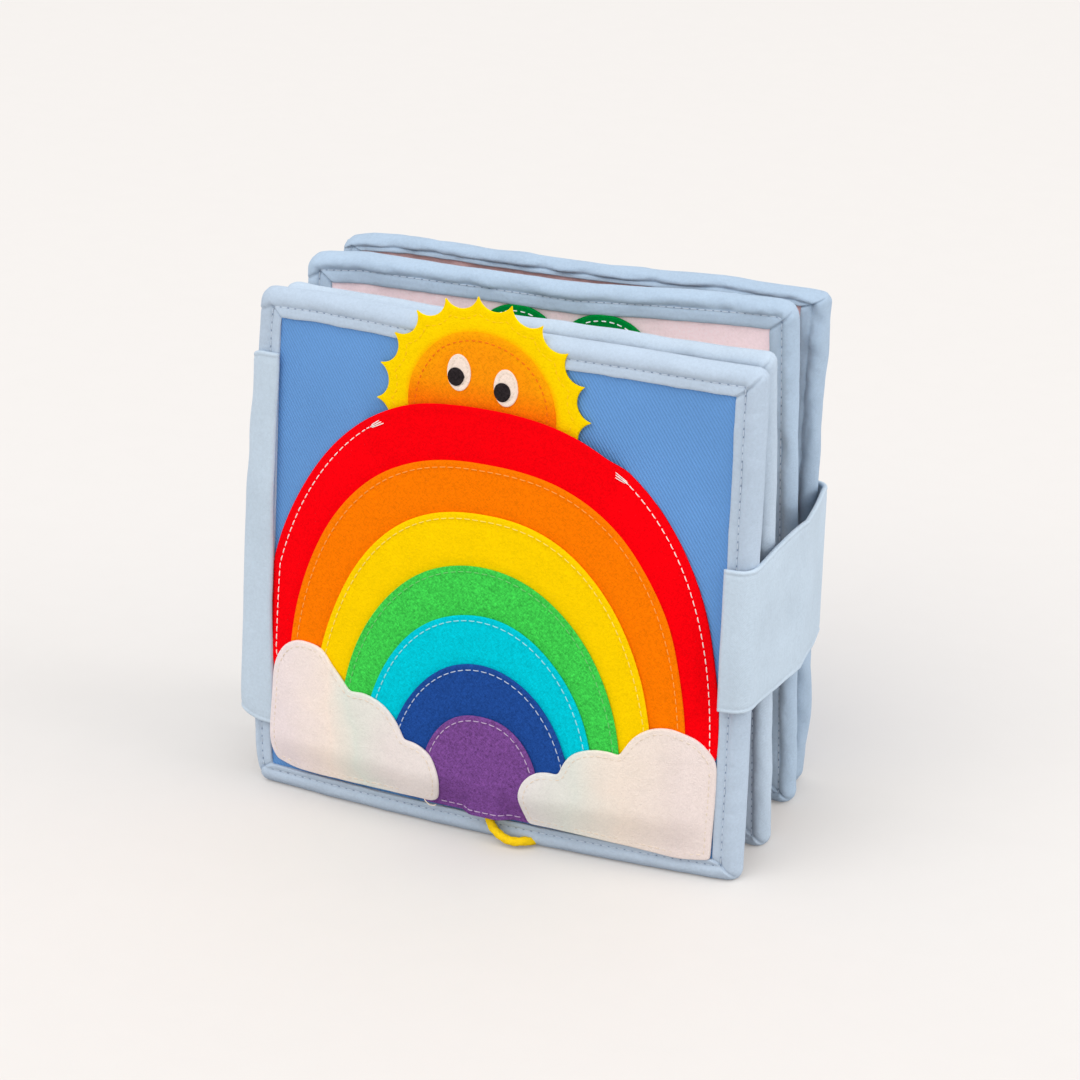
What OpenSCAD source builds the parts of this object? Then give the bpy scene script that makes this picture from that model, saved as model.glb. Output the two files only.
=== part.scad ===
// Soft cloth quiet book that stands closed on its lower edges.
// Four padded leaves with bound edges, a spine cover at the left and a closing strap at the right.
// The front cover carries a felt rainbow that is a pocket, and a sun that slides down into it.
// Millimetres, +Z up, front cover towards -Y. The origin is the middle of the second leaf's standing edge.

/* [Leaves] */
// Width of each padded leaf
leaf_w = 200; // [190:1:220]
// Height of each padded leaf
leaf_h = 200; // [195:1:220]
// Thickness of a leaf at its bound edge
leaf_t = 10; // [9:0.5:12]
// Width of the binding tape that shows on each face
binding_w = 9.5; // [8:0.5:11]
// Thickness of the binding tape where it lies on the pad
tape_t = 0.6; // [0.4:0.1:1]
// Distance from a leaf's outer edge to the pad inside its binding
pad_inset = 4.5; // [3:0.5:5]
// Depth by which the standing edges are pressed flat
press_flat = 0.8; // [0.4:0.1:1.4]
// Depth by which the front cover bows outwards between the spine and the strap
front_bow = 6; // [3:0.5:8]

/* [Stance] */
// Backward lean of both covers, in degrees
cover_lean = 3; // [1:0.5:4]
// Backward lean of the second leaf, in degrees
second_lean = -2; // [-3:0.5:1]
// Backward lean of the third leaf, in degrees
third_lean = 1; // [0:0.5:2.5]
// Turn of the second leaf about the vertical, in degrees
second_yaw = -0.5; // [-1.5:0.5:0.5]
// Turn of the third leaf about the vertical, in degrees
third_yaw = 5; // [3:0.5:6]
// Turn of the back cover about the vertical, in degrees
back_yaw = 3; // [1:0.5:4]
// Gap between the front cover and the second leaf where they come closest
second_gap = 3; // [2:0.5:8]
// Gap between the second and the third leaf at the spine
third_gap = 8; // [5:0.5:12]
// Gap between the third leaf and the back cover where they come closest
back_gap = 6; // [4:0.5:12]
// Sideways shift of the third leaf from the front cover
third_shift = -6; // [-8:0.5:0]
// Sideways shift of the back cover from the front cover
back_shift = -6.5; // [-8:0.5:0]

/* [Rainbow] */
// Thickness of one layer of felt
felt_t = 0.7; // [0.5:0.1:1]
// Gap between the rainbow and the binding at each side
rainbow_margin = 0.5; // [0.2:0.1:2]
// Gap between the rainbow's foot and the binding
rainbow_foot = 2; // [0.5:0.1:4]
// Height of the red band
rainbow_h = 160; // [150:1:165]
// Narrowing of each inner band, at each side
band_step = 10.4; // [9.4:0.2:12]
// Lowering of each inner band's top
band_drop = 19.6; // [18:0.2:22]
// Straight part of the red band's sides, as a share of its height
arch_leg = 0.4; // [0.3:0.01:0.45]
// Lessening of that share from each band to the next inner one
arch_leg_loss = 0.045; // [0:0.005:0.045]
// Width of the seam that holds the red band to the pad
seam_w = 5; // [3:0.5:7]

/* [Clouds] */
// Thickness of the cloud felt
cloud_t = 1.5; // [1.2:0.1:2]

/* [Sun] */
// Radius of the sun over the tips of its rays
sun_r = 43; // [38:0.5:44]
// Radius at the bottom of the scallops between the rays
sun_valley_r = 38; // [33:0.5:39]
// Number of rays
sun_rays_n = 20; // [16:1:24]
// Turn of the rays, in degrees
sun_phase = 3.2; // [0:0.1:18]
// Thickness of the yellow ray disc
rays_t = 0.8; // [0.5:0.1:1]
// Radius of the orange disc
sun_face_r = 29.4; // [26:0.2:32]
// Thickness of the orange disc
sun_face_t = 0.7; // [0.5:0.1:1]
// Sideways place of the sun from the middle of the cover
sun_offset = -5; // [-12:0.2:12]
// Height of the sun's middle below the top of the rainbow
sun_sink = 2.6; // [0:0.2:8]
// Travel of the sun down into the pocket
sun_travel = 45; // [40:1:50]
// Free space in front of and behind the sun
slide_gap = 0.4; // [0.3:0.1:0.8]
// Free space beside the sun at the pocket's mouth
mouth_gap = 1; // [0.5:0.1:3]

/* [Eyes] */
// Width of each white oval
eye_w = 9.5; // [8:0.5:11]
// Height of each white oval
eye_h = 15; // [12:0.5:16]
// Thickness of the white ovals
eye_t = 0.5; // [0.4:0.1:0.8]
// Radius of each pupil
pupil_r = 3.3; // [2.5:0.1:3.8]
// Thickness of the pupils
pupil_t = 0.4; // [0.3:0.1:0.6]

/* [Page felt] */
// Radius of the smaller green lobe on the third leaf
bush_small_r = 18; // [15:0.5:19]
// Radius of the larger green lobe on the third leaf
bush_large_r = 21.5; // [20:0.5:23]
// Distance between the middles of the two lobes
bush_spread = 34; // [30:1:38]
// Height of the green felt
bush_h = 46; // [42:1:60]
// Thickness of the green felt
bush_t = 1; // [0.7:0.1:1.5]

/* [Spine] */
// Height of the spine cover
spine_h = 150; // [130:1:165]
// Height of its lower edge above the leaf's edge
spine_z = 27; // [15:1:29]
// Thickness of the spine cloth
spine_t = 1.4; // [1:0.1:2]
// Width of the spine cover on each cover
spine_flap = 7; // [6:0.5:8]
// Free space between the spine cover and the leaves
spine_room = 1; // [0.8:0.1:2]

/* [Strap] */
// Height of the strap
strap_h = 56; // [45:1:70]
// Height of the strap's lower edge above the leaf's edge
strap_z = 68; // [50:1:80]
// Thickness of the strap
strap_t = 1.6; // [1:0.1:2.5]
// Length of the strap on the front cover
strap_flap = 9; // [7:0.5:9]
// Length of the strap on the back cover
strap_tail = 30; // [20:1:50]
// Thickness of the soft and the hooked closing patch
patch_t = 1; // [0.8:0.1:1.2]
// Width of the closing patches
patch_w = 6.5; // [5:0.5:7]
// Height of the closing patches
patch_h = 44; // [35:1:44]
// Free space between cloth pieces that lie on each other
cloth_gap = 0.3; // [0.3:0.05:0.4]

/* [Pull cord] */
// Diameter of the braided cord
cord_d = 3.4; // [2:0.1:3.4]

/* [Hidden] */
$fn = 64;

binding_blue = [0.72, 0.80, 0.87];
panel_blue = [0.38, 0.59, 0.80];
page_cream = [0.93, 0.90, 0.84];
page_pink = [0.95, 0.80, 0.84];
page_rose = [0.80, 0.66, 0.66];
leaf_green = [0.00, 0.53, 0.24];
cloud_white = [0.91, 0.87, 0.85];
sun_yellow = [1.00, 0.83, 0.00];
sun_orange = [1.00, 0.55, 0.10];
eye_white = [0.93, 0.91, 0.88];
pupil_black = [0.15, 0.13, 0.14];
patch_blue = [0.62, 0.72, 0.82];
band_colours = [
    [0.99, 0.00, 0.03], [1.00, 0.49, 0.00], [1.00, 0.83, 0.00], [0.24, 0.81, 0.29],
    [0.00, 0.78, 0.87], [0.13, 0.29, 0.61], [0.48, 0.28, 0.58]
];

edge_r = leaf_t / 2;
floor_block = 2 * (leaf_w + leaf_h);
curve_steps = 24;
edge_facets = 64;
bend_steps = 8;

// Spacing of the leaves at the spine, from the leans, the turns and the named gaps
front_to_second = leaf_t + second_gap + leaf_h * (sin(cover_lean) - sin(second_lean))
    + leaf_w * max(0, -sin(second_yaw));
second_to_third = leaf_t + third_gap + leaf_h * max(0, sin(second_lean) - sin(third_lean))
    + leaf_w * max(0, sin(second_yaw) - sin(third_yaw));
third_to_back = leaf_t + back_gap + leaf_h * max(0, sin(third_lean) - sin(cover_lean))
    + leaf_w * max(0, sin(third_yaw) - sin(back_yaw));
front_to_back = front_to_second + second_to_third + third_to_back;

// Each leaf's place: corner at the spine, turn and lean
second_place = [-leaf_w / 2, -edge_r, second_yaw, second_lean];
front_place = [-leaf_w / 2, -edge_r - front_to_second, 0, cover_lean];
third_place = [-leaf_w / 2 + third_shift, -edge_r + second_to_third, third_yaw, third_lean];
back_place = [-leaf_w / 2 + back_shift, -edge_r + second_to_third + third_to_back, back_yaw, cover_lean];

// Panel inside the binding, and the rainbow on it
panel_w = leaf_w - 2 * binding_w;
red_half_w = panel_w / 2 - rainbow_margin;
rainbow_x = leaf_w / 2;
rainbow_z = binding_w + rainbow_foot;
bands_n = len(band_colours);

// Bow of the front cover: its layers are parts of round walls about an upright axis behind it
bow_facets = 360;
bow_r = (leaf_w * leaf_w / 4 + front_bow * front_bow) / (2 * front_bow);
bow_axis = [leaf_w / 2, bow_r - front_bow];
bow_pad_r = bow_r - tape_t;
bow_mid_r = bow_r - edge_r;
bow_angle = asin((leaf_w / 2 - edge_r) / bow_mid_r);
// The bowed wall reaches a little way into its half-round sides, which are a little thinner than it
side_lap = 0.3;
side_edge_r = edge_r - 0.05;
bow_wall_angle = asin((leaf_w / 2 - edge_r + side_lap) / bow_mid_r);
bow_pad_angle = asin((leaf_w / 2 - pad_inset) / bow_mid_r);
bow_panel_angle = asin((leaf_w / 2 - binding_w) / bow_r);
bow_slab = 2 * (leaf_t + front_bow);

// Layers on the front cover, as heights above the pad
sun_back = tape_t + slide_gap;
sun_face_back = sun_back + rays_t;
eye_back = sun_face_back + sun_face_t;
pupil_back = eye_back + eye_t;
pocket_depth = pupil_back + pupil_t + slide_gap;

// Sun and eyes
sun_x = rainbow_x + sun_offset;
sun_z = rainbow_z + rainbow_h - sun_sink;
scallop_half_angle = 180 / sun_rays_n;
scallop_chord = sun_r * sin(scallop_half_angle);
scallop_depth = sun_r * cos(scallop_half_angle) - sun_valley_r;
scallop_r = (scallop_chord * scallop_chord + scallop_depth * scallop_depth) / (2 * scallop_depth);
left_eye_at = [-8.7, 14.2];
right_eye_at = [10, 11.1];
pupil_shift = [-1, -2.3];

// Cloud lobes: distance inwards from the panel's lower corner, height of the middle, radius
left_lobes = [[13.5, 36.2, 17.2], [42.7, 22, 15.5], [60, 11, 11]];
right_lobes = [[18.2, 28.2, 19.3], [46.7, 19.2, 15], [64.3, 11.1, 11.2]];

// Green lobes on the third leaf: sideways place from the leaf's middle and space below the binding
bush_x = -10;
bush_drop = 0.5;

// Spine cover and strap
spine_side = min(0, third_shift, third_shift - leaf_t * sin(third_yaw), back_shift - leaf_t * sin(back_yaw))
    - spine_room;
hinge_margin = 15;
strap_reach = 2 * patch_t + 2 * cloth_gap;
// Sideways shift of the strap's top edge, because it leans with the turned back cover
lean_shift = (strap_z + strap_h) * sin(cover_lean) * sin(back_yaw);
patch_x = leaf_w - binding_w + cloth_gap;
patch_z = strap_z + (strap_h - patch_h) / 2;

// Pull cord's route on a cover without its bow, from the sun down the pocket and round to the binding
cord_route = [
    [96, -1.3, 121], [97.8, -1.3, 96], [100, -1.3, 60], [101.6, -1.3, 34], [102.4, -1.3, 20],
    [102.7, -1.4, 14], [103.1, -1.7, 10], [104.7, -2.6, 7], [107.9, -3.5, 4.8], [111.4, -3.8, 3.4],
    [114.6, -3.5, 3.1], [117.2, -2.3, 3.3], [118.9, -0.6, 3.1], [119.8, 1, 2.8]
];
cord_path = [for (p = cord_route) p + [0, bow_at(p[0]), 0]];
cord_sides = 8;
cord_reference = [0, 1, -1];
cord_slot = cord_d + 5;

// Vectors and paths
function unit(v) = v / norm(v);
function left_of(v) = [-v[1], v[0]];
function turned(p, a) = [p[0] * cos(a) - p[1] * sin(a), p[0] * sin(a) + p[1] * cos(a)];
function heading(path, i) = unit(path[min(i + 1, len(path) - 1)] - path[max(i - 1, 0)]);
function bend(from, corner, to) = [
    for (i = [0 : bend_steps])
        let (s = i / bend_steps) (1 - s) * (1 - s) * from + 2 * s * (1 - s) * corner + s * s * to
];
function strip(path, t) = concat(
    path, [for (i = [len(path) - 1 : -1 : 0]) path[i] + t * left_of(heading(path, i))]
);

// Plan points on the back cover seen from the front cover's frame, and the other way round
function from_back(p) = [back_shift, front_to_back] + turned(p, back_yaw);
function to_back(p) = turned(p - [back_shift, front_to_back], -back_yaw);

// The bowed front face: its Y at a place along the cover, and plan points carried on its two bound sides
function bow_at(x) = bow_axis[1] - sqrt(bow_r * bow_r - (x - bow_axis[0]) * (x - bow_axis[0]));
function side_middle(side) = bow_axis + bow_mid_r * [side * sin(bow_angle), -cos(bow_angle)];
function on_left_side(p) = side_middle(-1) + turned(p - [edge_r, edge_r], -bow_angle);
function on_right_side(p) = side_middle(1) + turned(p - [leaf_w - edge_r, edge_r], bow_angle);

// Half sizes of each band, and the height of its back above the pad
function band_half_w(i) = red_half_w - i * band_step;
function band_h(i) = rainbow_h - i * band_drop;
function band_back(i) = pocket_depth + i * felt_t;
function band_leg(i) = arch_leg - i * arch_leg_loss;

// Arch with straight sides and a half ellipse on top
function arch_points(half_w, h, leg) = concat(
    [[-half_w, 0], [half_w, 0]],
    [for (i = [0 : 2 * curve_steps])
        let (a = 180 * i / (2 * curve_steps)) [half_w * cos(a), h * (leg + (1 - leg) * sin(a))]]
);
function oval_points(w, h) = [
    for (i = [0 : 2 * curve_steps - 1]) let (a = 180 * i / curve_steps) [w / 2 * cos(a), h / 2 * sin(a)]
];
function lobe_points(x, z, r) = concat(
    [[x - r, 0], [x + r, 0]],
    [for (i = [0 : curve_steps]) let (a = 180 * i / curve_steps) [x + r * cos(a), z + r * sin(a)]]
);

// Ring of points round the cord at one point of its route
function cord_ring(i) =
    let (
        along = heading(cord_path, i),
        across = unit(cross(along, cord_reference)),
        beside = cross(along, across)
    )
    [for (k = [0 : cord_sides - 1])
        let (a = 360 * k / cord_sides) cord_path[i] + cord_d / 2 * (cos(a) * across + sin(a) * beside)];

// Puts a leaf's own frame in its place: the lean turns it about the middle of its lower edge
module placed(place) {
    translate([place[0], place[1], -press_flat])
        rotate([0, 0, place[2]])
            translate([0, edge_r, edge_r])
                rotate([-place[3], 0, 0])
                    translate([0, -edge_r, -edge_r])
                        children();
}

module above_floor() {
    difference() {
        children();
        translate([-floor_block / 2, -floor_block / 2, -floor_block])
            cube(floor_block);
    }
}

// A flat layer in a leaf's own frame: an outline seen from the front, at a height above the pad
module layer(height, thickness) {
    translate([0, tape_t - height, 0])
        rotate([90, 0, 0])
            linear_extrude(thickness)
                children();
}

// Round wall about the bow's axis from a section of distances from the axis and heights
module bowed(half_angle) {
    translate([bow_axis[0], bow_axis[1], 0])
        rotate([0, 0, -90 - half_angle])
            rotate_extrude(angle = 2 * half_angle, $fn = bow_facets)
                children();
}

// A layer on the bowed front cover, at a height above its pad
module bowed_layer(height, thickness) {
    intersection() {
        translate([0, leaf_t, 0])
            rotate([90, 0, 0])
                linear_extrude(bow_slab)
                    children();
        bowed(bow_angle)
            translate([bow_pad_r + height, 0])
                square([thickness, leaf_h + sun_r]);
    }
}

module half_disc(r) {
    intersection() {
        circle(r, $fn = edge_facets);
        translate([0, -r])
            square([r, 2 * r]);
    }
}

// Half-round edge at the right of a plate, with its ball corners
module side_edge(r) {
    inner_h = leaf_h - leaf_t;
    translate([0, 0, edge_r])
        linear_extrude(inner_h)
            half_disc(r);
    for (corner = [[inner_h, 0], [0, 90]])
        translate([0, 0, edge_r + corner[0]])
            rotate([0, corner[1], 0])
                rotate([90, 0, 0])
                    rotate_extrude(angle = 90)
                        half_disc(r);
}

// Plate with half-round edges and ball corners
module soft_plate() {
    inner_w = leaf_w - leaf_t;
    inner_h = leaf_h - leaf_t;
    translate([edge_r, 0, edge_r])
        cube([inner_w, leaf_t, inner_h]);
    for (side = [[edge_r, 180], [leaf_w - edge_r, 0]])
        translate([side[0], edge_r, 0])
            rotate([0, 0, side[1]])
                side_edge(edge_r);
    for (side = [[edge_r, -90], [leaf_h - edge_r, 90]])
        translate([edge_r, edge_r, side[0]])
            rotate([0, 90, 0])
                rotate([0, 0, side[1] + 90])
                    linear_extrude(inner_w)
                        half_disc(edge_r);
}

// The same plate with the front cover's bow
module bowed_plate() {
    bowed(bow_wall_angle)
        translate([bow_r - leaf_t, edge_r])
            square([leaf_t, leaf_h - leaf_t]);
    for (side = [[edge_r, -90], [leaf_h - edge_r, 90]])
        bowed(bow_wall_angle)
            translate([bow_mid_r, side[0]])
                rotate(side[1])
                    half_disc(edge_r);
    for (side = [-1, 1])
        translate([side_middle(side)[0], side_middle(side)[1], 0])
            rotate([0, 0, side * bow_angle + 90 - side * 90])
                side_edge(side_edge_r);
}

module pad() {
    translate([pad_inset, tape_t, pad_inset])
        cube([leaf_w - 2 * pad_inset, leaf_t - 2 * tape_t, leaf_h - 2 * pad_inset]);
}

module bowed_pad() {
    bowed(bow_pad_angle)
        translate([bow_r - leaf_t + tape_t, pad_inset])
            square([leaf_t - 2 * tape_t, leaf_h - 2 * pad_inset]);
}

module binding(place) {
    above_floor()
        placed(place)
            difference() {
                soft_plate();
                pad();
                translate([binding_w, -leaf_t, binding_w])
                    cube([panel_w, 3 * leaf_t, leaf_h - 2 * binding_w]);
            }
}

module front_cover_binding() {
    color(binding_blue)
        above_floor()
            placed(front_place)
                difference() {
                    bowed_plate();
                    bowed_pad();
                    bowed(bow_panel_angle)
                        translate([bow_r - 2 * leaf_t, binding_w])
                            square([3 * leaf_t, leaf_h - 2 * binding_w]);
                }
}

module arch(i) {
    translate([rainbow_x, rainbow_z])
        polygon(arch_points(band_half_w(i), band_h(i), band_leg(i)));
}

// Space behind the red band: closed by the seam at the sides and below, open above for the sun
module pocket() {
    translate([rainbow_x, rainbow_z + seam_w])
        polygon(arch_points(red_half_w - seam_w, rainbow_h - 2 * seam_w, arch_leg));
    translate([sun_x - sun_r - mouth_gap, sun_z - sun_travel])
        square([2 * (sun_r + mouth_gap), leaf_h]);
    translate([cord_route[5][0] - cord_slot / 2, 0])
        square([cord_slot, rainbow_z + 2 * seam_w]);
}

module red_band() {
    color(band_colours[0])
        placed(front_place)
            difference() {
                bowed_layer(0, band_back(1))
                    arch(0);
                bowed_layer(-edge_r, edge_r + pocket_depth)
                    pocket();
            }
}

module band(i) {
    color(band_colours[i])
        placed(front_place)
            bowed_layer(band_back(i), felt_t)
                arch(i);
}

module cloud_outline(lobes, corner_x, inwards) {
    for (lobe = lobes)
        translate([corner_x, rainbow_z])
            polygon(lobe_points(inwards * lobe[0], lobe[1], lobe[2]));
}

// Cloud felt that follows the steps of the bands under it
module cloud(lobes, corner_x, inwards) {
    color(cloud_white)
        placed(front_place)
            for (i = [0 : bands_n - 1])
                bowed_layer(band_back(i + 1), cloud_t)
                    difference() {
                        intersection() {
                            cloud_outline(lobes, corner_x, inwards);
                            arch(i);
                        }
                        if (i < bands_n - 1)
                            arch(i + 1);
                    }
}

// Closing patch on the right side of the front cover, at a height in front of its binding
module patch(height) {
    color(patch_blue)
        placed(front_place)
            translate([side_middle(1)[0], side_middle(1)[1], patch_z])
                rotate([0, 0, bow_angle])
                    translate([patch_x - leaf_w + edge_r, -edge_r - height - patch_t, 0])
                        cube([patch_w, patch_t, patch_h]);
}

module pull_cord() {
    rings = len(cord_path);
    points = [for (i = [0 : rings - 1]) each cord_ring(i)];
    walls = [
        for (i = [0 : rings - 2])
            for (k = [0 : cord_sides - 1])
                let (a = i * cord_sides, b = a + cord_sides, j = (k + 1) % cord_sides)
                    [a + k, b + k, b + j, a + j]
    ];
    first_cap = [for (k = [0 : cord_sides - 1]) k];
    last_cap = [for (k = [cord_sides - 1 : -1 : 0]) (rings - 1) * cord_sides + k];
    color(sun_yellow)
        placed(front_place)
            polyhedron(points, concat(walls, [first_cap, last_cap]));
}

module on_sun(height, thickness) {
    placed(front_place)
        bowed_layer(height, thickness)
            translate([sun_x, sun_z])
                children();
}

module sun_rays() {
    color(sun_yellow)
        on_sun(sun_back, rays_t)
            difference() {
                circle(sun_r);
                for (k = [0 : sun_rays_n - 1])
                    rotate(sun_phase + (2 * k + 1) * scallop_half_angle)
                        translate([sun_valley_r + scallop_r, 0])
                            circle(scallop_r);
            }
}

module sun_face() {
    color(sun_orange)
        on_sun(sun_face_back, sun_face_t)
            circle(sun_face_r);
}

module eye(at) {
    color(eye_white)
        on_sun(eye_back, eye_t)
            translate(at)
                polygon(oval_points(eye_w, eye_h));
}

module pupil(at) {
    color(pupil_black)
        on_sun(pupil_back, pupil_t)
            translate(at + pupil_shift)
                circle(pupil_r);
}

module green_bush() {
    top = leaf_h - binding_w - bush_drop;
    middle = leaf_w / 2 + bush_x;
    color(leaf_green)
        placed(third_place)
            layer(0, bush_t) {
                translate([middle, top - bush_h])
                    polygon(lobe_points(0, bush_h - bush_small_r, bush_small_r));
                translate([middle + bush_spread, top - bush_h])
                    polygon(lobe_points(0, bush_h - bush_large_r, bush_large_r));
            }
}

// Cloth tongue that joins an inner leaf's edge to the spine cover
module leaf_tongue(place, reach) {
    placed(place)
        translate([-reach - spine_t / 2, edge_r - spine_t / 2, spine_z + hinge_margin])
            cube([reach + spine_t / 2 - cloth_gap, spine_t, spine_h - 2 * hinge_margin]);
}

module spine_cover() {
    rear = from_back([0, leaf_t + cloth_gap]);
    path = concat(
        [on_left_side([spine_flap, -cloth_gap])],
        bend(on_left_side([0, -cloth_gap]), [spine_side, -cloth_gap], [spine_side, leaf_t]),
        bend([spine_side, rear[1] - edge_r], [spine_side, rear[1]], from_back([edge_r, leaf_t + cloth_gap])),
        [from_back([spine_flap, leaf_t + cloth_gap])]
    );
    color(binding_blue) {
        placed(front_place)
            translate([0, 0, spine_z])
                linear_extrude(spine_h)
                    polygon(strip(path, spine_t));
        leaf_tongue(second_place, -spine_side);
        leaf_tongue(third_place, third_shift - spine_side);
    }
}

module strap() {
    side = leaf_w + cloth_gap;
    front_side = side + lean_shift;
    flap_bend = patch_x + patch_w + cloth_gap;
    second_side = leaf_w * cos(second_yaw) + cloth_gap + lean_shift;
    second_edge = [second_side, front_to_second + leaf_w * sin(second_yaw)];
    path = concat(
        [[leaf_w - strap_tail, leaf_t + cloth_gap]],
        bend([leaf_w - edge_r, leaf_t + cloth_gap], [side, leaf_t + cloth_gap], [side, edge_r]),
        bend(
            to_back(second_edge + [0, 2 * leaf_t]), to_back(second_edge + [0, leaf_t]), to_back(second_edge)
        ),
        bend(
            to_back([front_side, edge_r]), to_back(on_right_side([side, -strap_reach])),
            to_back(on_right_side([flap_bend, -strap_reach]))
        ),
        [to_back(on_right_side([leaf_w - strap_flap, -strap_reach]))]
    );
    color(binding_blue)
        placed(back_place)
            translate([0, 0, strap_z])
                linear_extrude(strap_h)
                    polygon(strip(path, strap_t));
}

color(panel_blue) placed(front_place) bowed_pad();  // front_cover_pad
front_cover_binding();
red_band();
band(1);  // orange_band
band(2);  // yellow_band
band(3);  // green_band
band(4);  // cyan_band
band(5);  // blue_band
band(6);  // violet_band
cloud(left_lobes, binding_w, 1);  // left_cloud
cloud(right_lobes, leaf_w - binding_w, -1);  // right_cloud
patch(0);  // loop_patch
pull_cord();
sun_rays();
sun_face();
eye(left_eye_at);  // left_eye
eye(right_eye_at);  // right_eye
pupil(left_eye_at);  // left_pupil
pupil(right_eye_at);  // right_pupil
color(page_cream) placed(second_place) pad();  // second_leaf_pad
color(binding_blue) binding(second_place);  // second_leaf_binding
color(page_pink) placed(third_place) pad();  // third_leaf_pad
color(binding_blue) binding(third_place);  // third_leaf_binding
green_bush();
spine_cover();
color(page_rose) placed(back_place) pad();  // back_cover_pad
color(binding_blue) binding(back_place);  // back_cover_binding
strap();
patch(patch_t + cloth_gap);  // hook_patch
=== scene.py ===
"""Soft cloth quiet book: the looks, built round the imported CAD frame. Millimetres until a mesh is made."""
import math
from functools import partial

import bmesh
import bpy
import numpy as np
from mathutils import Matrix, Vector
from mathutils.geometry import delaunay_2d_cdt

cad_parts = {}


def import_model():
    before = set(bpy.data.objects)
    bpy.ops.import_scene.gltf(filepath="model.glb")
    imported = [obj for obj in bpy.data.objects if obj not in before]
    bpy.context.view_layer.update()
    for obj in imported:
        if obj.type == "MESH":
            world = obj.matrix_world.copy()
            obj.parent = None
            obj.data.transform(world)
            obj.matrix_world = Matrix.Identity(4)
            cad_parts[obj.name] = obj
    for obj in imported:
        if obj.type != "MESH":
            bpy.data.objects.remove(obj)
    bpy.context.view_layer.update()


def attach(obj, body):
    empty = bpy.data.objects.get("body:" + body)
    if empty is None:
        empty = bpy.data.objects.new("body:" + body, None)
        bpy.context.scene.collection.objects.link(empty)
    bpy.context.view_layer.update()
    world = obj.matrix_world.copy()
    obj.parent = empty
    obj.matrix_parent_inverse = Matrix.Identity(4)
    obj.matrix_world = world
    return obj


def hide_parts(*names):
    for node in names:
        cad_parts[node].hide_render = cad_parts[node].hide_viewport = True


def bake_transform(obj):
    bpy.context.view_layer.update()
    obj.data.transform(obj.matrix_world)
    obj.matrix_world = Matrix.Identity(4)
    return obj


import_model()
scene = bpy.context.scene

MM = 0.001

# Sizes that repeat those of the part's source
LEAF = 200.0
LEAF_T = 10.0
EDGE_R = LEAF_T / 2
TAPE_T = 0.6
PAD_INSET = 4.5
PRESS_FLAT = 0.8
CLOTH_GAP = 0.3
FRONT = (-100.0, -37.192, 0.0, 3.0)
SECOND = (-100.0, -5.0, -0.5, -2.0)
THIRD = (-106.0, 13.0, 5.0, 1.0)
BACK = (-106.5, 35.964, 3.0, 3.0)
FRONT_TO_SECOND = 32.192
FRONT_TO_BACK = 73.156
FELT_T = 0.7
FRONT_BOW = 6.0
RAINBOW_X, RAINBOW_Z = 100.0, 11.5
RED_HALF_W, RED_H = 90.0, 160.0
BAND_STEP, BAND_DROP = 10.4, 19.6
POCKET_DEPTH = 3.8
SUN_AT = (95.0, 168.9)
SUN_R, SUN_VALLEY_R = 43.0, 38.0
SUN_RAYS_N = 20
SUN_PHASE = 3.2
SUN_FACE_R = 29.4
RAYS_TOP, FACE_TOP, EYE_TOP, PUPIL_TOP = 1.8, 2.5, 3.0, 3.4
EYE_W, PUPIL_R = 9.5, 3.3
SPINE_Z, SPINE_H = 27.0, 150.0
SPINE_SIDE = -8.02
STRAP_Z, STRAP_H = 68.0, 56.0
STRAP_REACH = 2.6
STRAP_SIDE = LEAF + 0.64
CORD_D = 3.4
CORD_SLOT_X = 102.7
CORD_ROUTE = (
    (96, -1.3, 121), (97.8, -1.3, 96), (100, -1.3, 60), (101.6, -1.3, 34), (102.4, -1.3, 20),
    (102.7, -1.4, 14), (103.1, -1.7, 10), (104.7, -2.6, 7), (107.9, -3.5, 4.8), (111.4, -3.8, 3.4),
    (114.6, -3.5, 3.1), (117.2, -2.3, 3.3), (118.9, -0.6, 3.1), (119.8, 1, 2.8), (120.3, 3.2, 2.7),
)
# Places (x, z) between which the cord's movement goes over from the cover to the sun
CORD_STILL, CORD_DRAWN = (101.6, 34), (96, 119)

# Sizes that differ a little from those of the part's source, to follow the photograph
CLOUD_T, SUN_BACK, SPINE_T, STRAP_T = 1.4, 0.8, 1.6, 1.7
EYES = {"left": (-8.7, 13.4), "right": (10.0, 10.7)}
EYE_H = 13.8
PUPIL_SHIFT = (-1.0, -1.7)

# Camera fitted to the leaves' corners in the photograph
PHOTO_PX = 1080
FOCAL_PX = 3374.5
CAMERA_ELEVATION, CAMERA_AZIMUTH, CAMERA_ROLL = 22.764, 24.476, 0.392
CAMERA_DISTANCE = 1229.7
CAMERA_TARGET = (19.64, -37.192, 123.51)


def smooth(t):
    t = np.clip(t, 0.0, 1.0)
    return t * t * (3 - 2 * t)


def lattice(ix, iy, seed):
    h = (ix * 374761393 + iy * 668265263 + seed * 97463477) & 0xFFFFFFFF
    h = ((h ^ (h >> 13)) * 1274126177) & 0xFFFFFFFF
    return ((h ^ (h >> 16)) & 0xFFFF) / 32767.5 - 1.0


def noise(x, y, seed):
    """Smooth noise from -1 to 1 with one bump to each unit."""
    x, y = np.broadcast_arrays(np.asarray(x, float), np.asarray(y, float))
    ix, iy = np.floor(x).astype(np.int64), np.floor(y).astype(np.int64)
    fx, fy = smooth(x - ix), smooth(y - iy)
    low = lattice(ix, iy, seed) * (1 - fx) + lattice(ix + 1, iy, seed) * fx
    high = lattice(ix, iy + 1, seed) * (1 - fx) + lattice(ix + 1, iy + 1, seed) * fx
    return low * (1 - fy) + high * fy


# Placing: a leaf's own frame has X to the right, Y to the back and Z up from its lower front corner


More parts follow.
